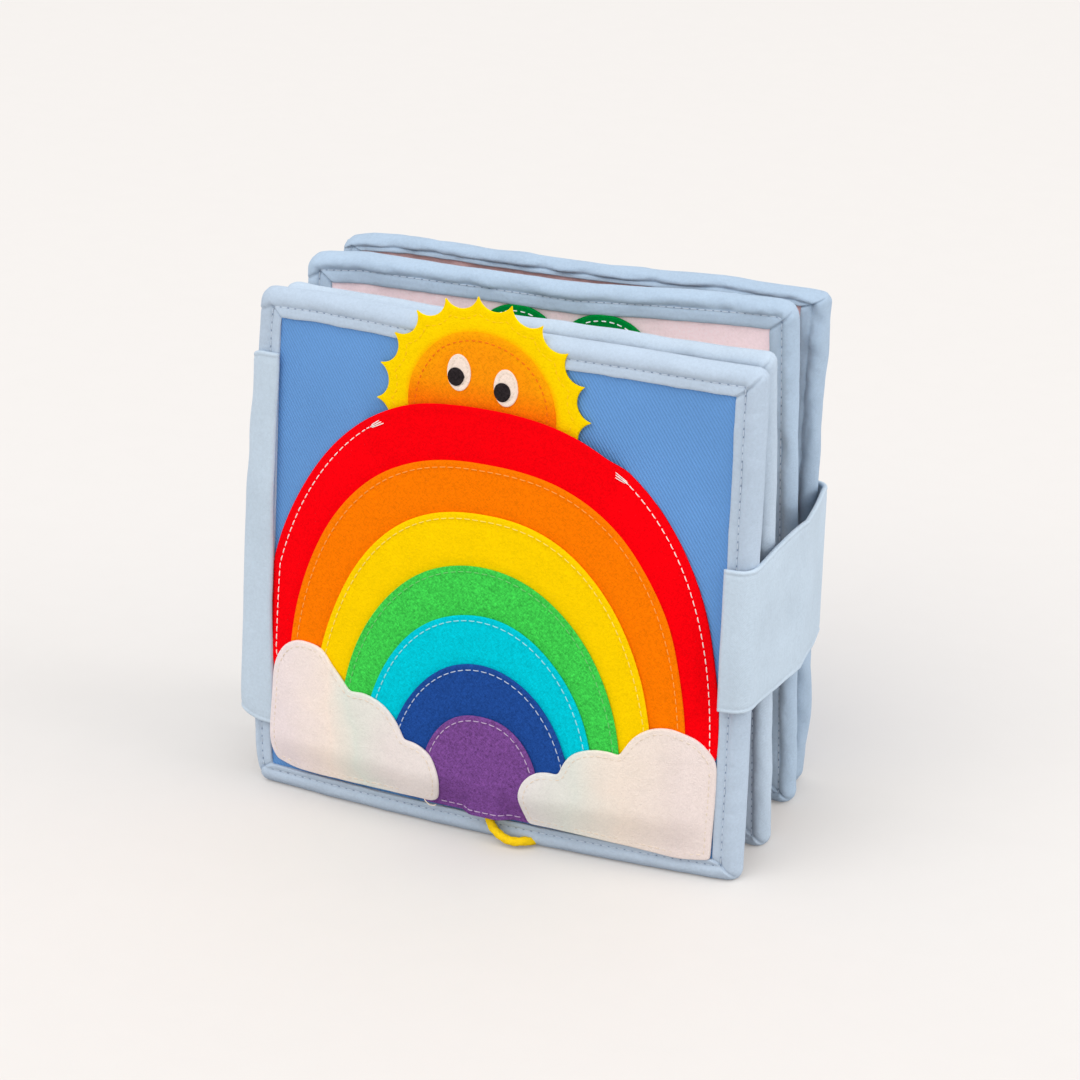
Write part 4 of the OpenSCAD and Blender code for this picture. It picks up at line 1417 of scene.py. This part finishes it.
def bend(a, corner, b, steps=14):
    """Round bend from a to b, drawn towards corner."""
    s = np.linspace(0, 1, steps)[:, None]
    return (1 - s) ** 2 * np.array(a) + 2 * s * (1 - s) * np.array(corner) + s * s * np.array(b)


STRIP_ROWS = 60
HEM = ((0.0, 0.3), (0.15, 0.75), (0.5, 1.05), (0.9, 1.12), (1.3, 1.0), (1.7, 0.74), (2.2, 0.84), (3.0, 1.0))


def strip(path, bottom, top, thickness, bulge):
    """Closed folded strip (x, y, z) along a plan path; bottom and top give its edges along the path.
    The path is its inner face, and its outer face lies to the left. bulge(s, t) moves it outwards."""
    path = resample(path, 1.2, closed=False)
    along = np.gradient(path, axis=0)
    along /= np.linalg.norm(along, axis=1)[:, None]
    out = np.stack([-along[:, 1], along[:, 0]], -1)
    s = np.linspace(0, 1, len(path))
    z0, z1 = bottom(s), top(s)
    length = np.sum(np.linalg.norm(np.diff(path, axis=0), axis=1))
    ends = np.minimum(s, 1 - s) * length
    round_end = np.sqrt(np.clip(1 - (1 - np.clip(ends / 1.0, 0, 1)) ** 2, 0.12, 1))
    inner_rows, outer_rows = [], []
    edge = [d for d, _ in HEM]
    share = [f for _, f in HEM]
    height = float(np.mean(z1 - z0))
    between = np.linspace(edge[-1], height - edge[-1], STRIP_ROWS)
    levels = np.unique(np.concatenate([edge, between, height - np.array(edge)]))
    for v in levels:
        t = v / height
        z = z0 + (z1 - z0) * t
        fold = np.interp(min(v, height - v), edge, share)
        mid = bulge(s, t)
        for rows, side in ((inner_rows, -0.5), (outer_rows, 0.5)):
            face = path + out * (thickness * (0.5 + side * fold * round_end) + mid)[:, None]
            rows.append(np.column_stack([face, z]))
    return np.vstack(inner_rows + outer_rows), two_sided(len(levels), len(path)), length


SPINE_FLAP = 8.5
# By height: how far the flap's sewn edge reaches further on, and how far the fold stands out
FLAP_EDGE = ((27, 0.3), (36, 0.2), (78, -1.0), (118, -0.5), (173, 1.6))
FOLD_OUT = ((27, 0.9), (36, 1.3), (75, 0.4), (143, -1.8), (177, -4.6))
SPINE_DIP = 3.0


def spine_half(name, path, body, start, end, seed):
    """Half of the spine cover: it bends between the pages and a cover. start and end are not used."""
    front = body == "front_cover"

    def fold(s):
        return smooth((s - 0.1) / 0.16) * smooth((0.8 - s) / 0.35) if front else 0 * s

    def bulge(s, t):
        out = np.interp(SPINE_Z + t * SPINE_H, *zip(*FOLD_OUT)) * fold(s)
        return out + 0.5 * noise(s * 5, t * 4, seed) + 0.35 * noise(s * 3, t * 11, seed + 1)

    def bottom(s):
        return SPINE_Z + SPINE_DIP * fold(s)

    def top(s):
        return SPINE_Z + SPINE_H - SPINE_DIP * fold(s)

    points, faces, length = strip(path, bottom, top, SPINE_T, bulge)
    if front:
        points[:, 0] += np.interp(points[:, 2], *zip(*FLAP_EDGE)) * smooth((points[:, 0] + 2) / 8)
    piece = add_piece(name, placed(FRONT, points), faces, mat_strap, None, ["spine_cover"])
    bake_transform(piece)


# Tongues that hold the inner leaves: reach beyond the leaf, thickness, and how much shorter at either end
TONGUES = {"second_leaf": 7.6, "third_leaf": 1.9}
TONGUE_T, TONGUE_SHORT = 1.2, 15


def tongue(leaf, reach):
    path = np.array([[x, EDGE_R - TONGUE_T / 2] for x in (0.6, -reach * 0.5, -reach)])
    low, high = SPINE_Z + TONGUE_SHORT, SPINE_Z + SPINE_H - TONGUE_SHORT
    points, faces, _ = strip(
        path, lambda s: low + 0 * s, lambda s: high + 0 * s, TONGUE_T,
        lambda s, t: 0.2 * noise(s * 2, t * 9, 45),
    )
    points = placed(LEAVES[leaf][0], points)
    add_piece(f"{leaf}_tongue", points, faces, mat_strap, "pages", ["spine_cover"])


def spine():
    y_middle = FRONT_TO_SECOND + 12
    rear = from_back((0, LEAF_T + CLOTH_GAP))
    front_path = np.vstack([
        on_side(-1, [(SPINE_FLAP, -0.9), (4.5, -1.1)]),
        bend(on_side(-1, (0, -1.0)), (SPINE_SIDE, -1.0), (SPINE_SIDE, LEAF_T)),
        [[SPINE_SIDE, y_middle]],
    ])
    back_path = np.vstack([
        [[SPINE_SIDE, y_middle], [SPINE_SIDE, rear[1] - 12]],
        bend(
            (SPINE_SIDE, rear[1] - EDGE_R), (SPINE_SIDE, rear[1] + 1.5), from_back((EDGE_R, LEAF_T + 1.7)),
        ),
        [from_back((SPINE_FLAP, LEAF_T + 1.5))],
    ])
    middle_z = SPINE_Z + SPINE_H / 2

    def world(x, y):
        return placed(FRONT, np.array([[x, y, middle_z]]))[0]

    spine_half(
        "spine_cover_front", front_path, "front_cover", world(SPINE_SIDE, 22),
        world(-2.0, -1.0), 41,
    )
    spine_half(
        "spine_cover_back", back_path, "back_cover", world(SPINE_SIDE, rear[1] - 22),
        world(-2.0, rear[1]), 43,
    )
    for leaf, reach in TONGUES.items():
        tongue(leaf, reach)


STRAP_START_X, STRAP_FLAP_X = 170, 190.4
STRAP_SAG_TOP, STRAP_SAG_FOOT, STRAP_LOW = 3.5, 1.1, 3.4


def strap():
    second = np.array([STRAP_SIDE, FRONT_TO_SECOND - 1.75])
    plan = np.vstack([
        [[STRAP_START_X, LEAF_T + CLOTH_GAP]],
        bend((LEAF - EDGE_R, LEAF_T + 0.5), (LEAF + 1.6, LEAF_T + 0.5), (LEAF + 1.6, 3.5)),
        bend(to_back(second + (0.6, 20)), to_back(second + (0.3, 10)), to_back(second)),
        bend(to_back((STRAP_SIDE, 7)), to_back(on_side(1, (STRAP_SIDE, -STRAP_REACH))),
             to_back(on_side(1, (195.5, -STRAP_REACH))), 20),
        [to_back(on_side(1, (STRAP_FLAP_X, -STRAP_REACH + 0.3)))],
    ])

    def top(s):
        return STRAP_Z + STRAP_H - STRAP_SAG_TOP * smooth((s - 0.6) / 0.35)

    def bottom(s):
        return STRAP_Z - STRAP_LOW + STRAP_SAG_FOOT * smooth((s - 0.6) / 0.35)

    def bulge(s, t):
        uneven = 0.35 + 0.4 * noise(s * 6, t * 3, 51) + 0.2 * noise(s * 14, t * 5, 52)
        return uneven * smooth((s - 0.2) / 0.2)

    points, faces, length = strip(plan, bottom, top, STRAP_T, bulge)
    piece = add_piece(
        "strap_cloth", placed(BACK, points), faces, mat_strap, "back_cover", ["strap"]
    )


PATCH_X, PATCH_Z, PATCH_W, PATCH_H, PATCH_T = 190.8, 74.0, 6.5, 44.0, 0.8
PATCH_COLUMNS, PATCH_ROWS = 14, 60


def patch(node, y_back, body, seed):
    """Hook or loop patch: a small pad with a rough face."""
    columns = np.linspace(PATCH_X, PATCH_X + PATCH_W, PATCH_COLUMNS)
    x, z = np.meshgrid(columns, np.linspace(PATCH_Z, PATCH_Z + PATCH_H, PATCH_ROWS))
    rough = 0.12 * noise(x / 0.7, z / 0.7, seed)
    faces_y = ((y_back - PATCH_T + rough).ravel(), np.full(x.size, y_back))
    points = np.vstack([
        np.column_stack([on_side(1, np.stack([x.ravel(), y], -1)), z.ravel()]) for y in faces_y
    ])
    faces = two_sided(PATCH_ROWS, PATCH_COLUMNS)
    add_piece(f"{node}_face", placed(FRONT, points), faces, mat_patch, body, [node])


# Stage


FLOOR_RGB = (247, 243, 240)
FLOOR_SIZE = 12.0
FLOOR_SHARE, FLOOR_GLOW = 0.62, 0.17
WORLD_RGB, WORLD_STRENGTH = (0.98, 0.985, 0.99), 0.97
LAMP_AIM = (0, 0, 0.1)
# Name, place, width, power and colour
LAMPS = (
    ("side_light", (8.7, 1.0, 4.8), 8.0, 370, (1, 0.99, 0.975)),
    ("front_light", (-2.0, -5.5, 8.2), 9.0, 425, (1, 0.985, 0.965)),
)


def lamp(name, at, size, power, rgb):
    data = bpy.data.lights.new(name, "AREA")
    data.shape = "DISK"
    data.size = size
    data.energy = power
    data.color = rgb
    light = bpy.data.objects.new(name, data)
    light.location = at
    light.rotation_mode = "QUATERNION"
    light.rotation_quaternion = (Vector(LAMP_AIM) - Vector(at)).to_track_quat("-Z", "Y")
    scene.collection.objects.link(light)


def stage():
    mesh = bpy.data.meshes.new("floor")
    h = FLOOR_SIZE / 2
    mesh.from_pydata([(-h, -h, 0), (h, -h, 0), (h, h, 0), (-h, h, 0)], [], [(0, 1, 2, 3)])
    floor = bpy.data.objects.new("floor", mesh)
    scene.collection.objects.link(floor)
    n = Nodes("floor_paper")
    grain = n.noise(60, 3, 0.6)
    tone = n.ramp(grain, 0.3, 0.7, 0.995, 1.005)
    n.link(n.shade([c * FLOOR_SHARE for c in linear(FLOOR_RGB)], tone), "Base Color")
    ray = n.add("ShaderNodeLightPath")
    seen = n.maths("MAXIMUM", ray.outputs["Is Camera Ray"], ray.outputs["Is Glossy Ray"])
    seen = n.maths("MAXIMUM", seen, ray.outputs["Is Transmission Ray"])
    n.link(n.maths("MULTIPLY", seen, FLOOR_GLOW), "Emission Strength")
    n.shader.inputs["Emission Color"].default_value = (*linear(FLOOR_RGB), 1)
    mesh.materials.append(n.done(0.95, 0.0))

    world = bpy.data.worlds.new("studio")
    scene.world = world
    world.use_nodes = True
    background = world.node_tree.nodes["Background"]
    background.inputs["Color"].default_value = (*WORLD_RGB, 1)
    background.inputs["Strength"].default_value = WORLD_STRENGTH
    for settings in LAMPS:
        lamp(*settings)
    scene.view_settings.view_transform = "Standard"


photo_camera()
pull_cord()
page("front_cover", mat_panel, mat_pink, crowns=(0.25, 0.5), caps=(0.15, 1.0), seed=101)
page("second_leaf", mat_cream, mat_cream, crowns=(0.6, 0.6), caps=(1.0, 1.0), seed=103)
page("third_leaf", mat_pink, mat_tan, crowns=(0.2, 0.6), caps=(0.3, 1.0), seed=105)
page("back_cover", mat_rose, mat_panel, crowns=(0.6, 0.4), caps=(1.2, 1.0), seed=107)
binding("front_cover", seam=(7.0, 6.5, 6.8, 6.4), radii=(4.5, 4.5, 4.5, 7.0), wrinkle=0.25, seed=201)
binding("second_leaf", seam=(5.2, 5.6, 5.0, 5.2), radii=(4.5, 4.5, 4.5, 4.5), wrinkle=0.35, seed=221)
binding("third_leaf", seam=(6.4, 5.4, 5.0, 5.6), radii=(5.0, 5.0, 5.0, 5.0), wrinkle=0.7, seed=241)
binding(
    "back_cover", seam=(5.4, 6.2, 5.0, 3.7), radii=(5.0, 3.2, 5.0, 5.0), wrinkle=0.95, seed=261,
    faces_sewn=("rear",),
)
rainbow()
clouds()
sun()
bush()
spine()
strap()
patch("loop_patch", y_back=0.0, body="front_cover", seed=71)
patch("hook_patch", y_back=-1.35, body="back_cover", seed=73)
stage()
